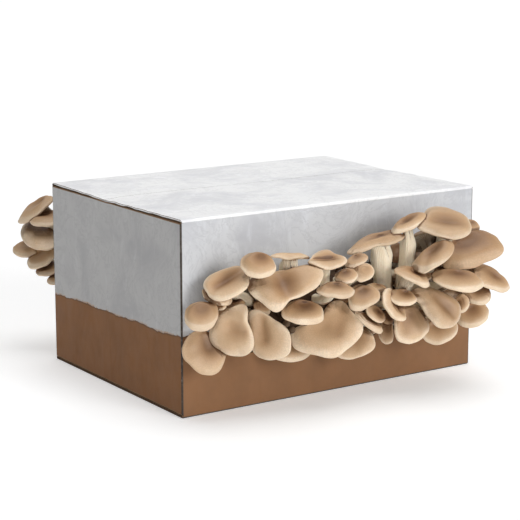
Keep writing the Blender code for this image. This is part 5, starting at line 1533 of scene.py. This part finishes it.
def strawTree():
    # short straws lying flat on the part of the block that the slits lay bare
    tree, given, result = newTree("strawTree", (
        ("Density", "Float", substrate["straws"]), ("Length", "Float", substrate["strawLong"]),
        ("Width", "Float", substrate["strawWide"]), ("Seed", "Int", 4),
        ("Material", "Material", None)))
    spots = addNode(tree, "GeometryNodeDistributePointsOnFaces", {
        "Mesh": given["Geometry"], "Density": given["Density"], "Seed": given["Seed"]})
    size = vectorOf(given["Length"], given["Width"], given["Width"] * 0.5)
    straw = valueOf("GeometryNodeMeshCube", {"Size": size, "Vertices X": 5})
    spin = startValue(tree, "FunctionNodeRandomValue", 1, {2: 0.0, 3: 2 * math.pi, "Seed": 7},
                      data_type="FLOAT")
    lying = scattered(spots, straw, vectorOf(0.0, 0.0, spin), (0.45, 1.15), 9)
    closeTree(result, lying, given["Material"])
    return tree


def strawMaterial():
    material, shader, place = newMaterial("wheatStraw", 0.6, 0.3)
    pick, grain = noiseOf(place, 90.0, 3.0), noiseOf(place, 1200.0, 2.0)
    colour = dullRamp(pick * 0.7 + grain * 0.3, 0.35, substrate["straw"])
    setInputs(shader, {"Base Color": colour, "Normal": bumpOf(grain, 0.2 * mm, 0.5)})
    return material


def makeStraw(material):
    # a sheet just over the block in each slit carries the straws
    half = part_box("substrate_block")[1].y - substrate["strawSunk"]
    for where, side, window in windows:
        outline = windowOutline(window, substrate["slitEdge"] + 6 * mm)
        work = bmesh.new()
        face = work.faces.new([work.verts.new((x, side * half, z)) for x, z in outline])
        work.normal_update()
        if face.normal.y * side < 0:
            face.normal_flip()
        straws = fromWork("straw_" + where, work)
        growWith(straws, strawTree(), {"Material": material, "Seed": 4 + side})
        standsFor(straws, "substrate_block")


# film bag round the block, slit open behind each window

film = {
    "grid": 4.0 * mm,
    "round": 14.5 * mm,
    "wrinkle": 1.7 * mm,       # height of the sharpest folds
    "thick": 0.2 * mm,
}


def makeFilm(material):
    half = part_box("film_bag")[1].y
    bag, points, normals = boxPiece("wrinkled_film", "film_bag", film)
    folds = (1 - np.abs(roundNoise(points * (1.0, 1.0, 0.45), 42.0, 3)).clip(0, 1)) ** 6
    folds = folds + 0.35 * (1 - np.abs(roundNoise(points + 3.0, 95.0, 2)).clip(0, 1)) ** 5
    points += normals * (film["wrinkle"] * np.minimum(folds, 1.0))[:, None]
    # the slits, their edges drawn to a smooth outline
    inSlit = np.zeros(len(points), bool)
    for _, side, window in windows:
        outline = np.array(windowOutline(window, substrate["slitEdge"], 24))
        centre = (window[0], carton["windowMiddle"])
        ahead = side * points[:, 1] > half - 3 * mm
        flat = points[:, [0, 2]]
        nearest = np.full(len(points), 1.0)
        target = flat.copy()
        for first, last in zip(outline, np.roll(outline, -1, axis=0)):
            spot, far = nearestOn(first, last, flat)
            closer = far < nearest
            nearest[closer], target[closer] = far[closer], spot[closer]
        inward = (np.linalg.norm(flat - centre, axis=1)
                  < np.linalg.norm(target - centre, axis=1))
        atEdge = ahead & (nearest < 0.5 * film["grid"])
        points[np.ix_(atEdge, [0, 2])] = target[atEdge]
        inSlit |= ahead & inward & ~atEdge
    setPoints(bag.data, points)
    work = bmesh.new()
    work.from_mesh(bag.data)
    work.verts.ensure_lookup_table()
    bmesh.ops.delete(work, geom=[work.verts[n] for n in np.flatnonzero(inSlit).tolist()],
                     context="VERTS")
    work.to_mesh(bag.data)
    work.free()
    bag.data.materials.append(material)
    wall = bag.modifiers.new("wall", "SOLIDIFY")
    wall.thickness = film["thick"]
    wall.offset = -1.0
    settle(bag)
    shadeSmooth(bag)
    standsFor(bag, "film_bag")


def filmMaterial():
    material, shader, place = newMaterial("milkyFilm", 0.16, 0.5)
    cloud = noiseOf(place, 60.0, 4.0)
    setInputs(shader, {
        "Base Color": rampOf(cloud, ((0.3, (0.86, 0.87, 0.87)), (0.7, (0.94, 0.94, 0.93)))),
        "Roughness": rangeOf(cloud, 0.3, 0.7, 0.12, 0.22), "Transmission Weight": 0.85,
        "IOR": 1.45})
    return material


# young mushrooms, no bigger than pins, crowd the foot between the stems

pins = {
    "density": 9000.0,         # to the square metre
    "tall": 9.0 * mm,
    "cap": 3.2 * mm,
    "apart": 3.4 * mm,
}


def pinTree():
    tree, given, result = newTree("pinTree", (
        ("Density", "Float", pins["density"]), ("Apart", "Float", pins["apart"]),
        ("Tall", "Float", pins["tall"]), ("Cap", "Float", pins["cap"]), ("Seed", "Int", 3),
        ("Material", "Material", None)))
    spots = addNode(tree, "GeometryNodeDistributePointsOnFaces", {
        "Mesh": given["Geometry"], "Selection": overHalf(namedOf(tree, "grows")),
        "Distance Min": given["Apart"], "Density Max": given["Density"],
        "Seed": given["Seed"]}, distribute_method="POISSON")
    thin = given["Cap"] * 0.45
    stem = valueOf("GeometryNodeMeshCone", {"Vertices": 8, "Radius Top": thin,
                                            "Radius Bottom": thin, "Depth": given["Tall"]})
    ball = valueOf("GeometryNodeMeshUVSphere", {"Segments": 10, "Rings": 6,
                                                "Radius": given["Cap"]})
    ball = valueOf("GeometryNodeTransform", {
        "Geometry": ball, "Translation": vectorOf(0.0, 0.0, given["Tall"]),
        "Scale": (1.0, 1.0, 0.72)})
    pin = addNode(tree, "GeometryNodeJoinGeometry", {0: stem})
    setInputs(pin, {0: ball})
    tilt = startValue(tree, "FunctionNodeRandomValue", 0, {
        0: (-0.45, -0.45, 0.0), 1: (0.45, 0.45, 6.28), "Seed": 5}, data_type="FLOAT_VECTOR")
    standing = scattered(spots, Value(pin.outputs[0]), tilt, (0.4, 1.2), 6)
    closeTree(result, standing, given["Material"])
    return tree


def makePins(name, foot, node, side, tree, material):
    mesh = foot.data.copy()
    out = side * getPoints(mesh)[:, 1] - carton["deep"] / 2
    storeFloat(mesh, "grows", (out > 4 * mm).astype(float))
    young = addObject(name, mesh)
    growWith(young, tree, {"Material": material, "Seed": 3 + side})
    shadeSmooth(young)
    standsFor(young, node)


addCamera()
addStudio()
print("camera and studio")
printed = printMaterial()
# the raw edge is kraft darkened with painted shade, for the shadow in the board's hollow ends and
# cuts
shadedBoardEdge = kraftMaterial("rawBoardEdgeShaded", 0.42)
boardLiner = kraftMaterial("kraftLiner", 1.0)
makeCarton(printed, shadedBoardEdge, boardLiner, creaseMaterial())
makeFluting(shadedBoardEdge)
print("carton")
look = {"skin": capMaterial(), "flesh": gillMaterial(), "tree": gillTree()}
shadedFootSkin = footMaterial()
makeBlock(blockMaterial())
makeStraw(strawMaterial())
makeFilm(filmMaterial())
print("block and film")
pinGrowth = pinTree()
for where, side, _ in windows:
    foot = makeFoot("grown_foot_" + where, where + "_cluster_foot", side, lumps[where], shadedFootSkin)
    makePins("young_pins_" + where, foot, where + "_cluster_foot", side, pinGrowth, shadedFootSkin)
print("feet and pins")
growCluster("front", -1, ((seenMushroom, frontCaps), (seenMushroom, fillingCaps)), look)
growCluster("back", 1, ((seenMushroom, backCaps), (behindMushroom, backCapsBehind)), look)
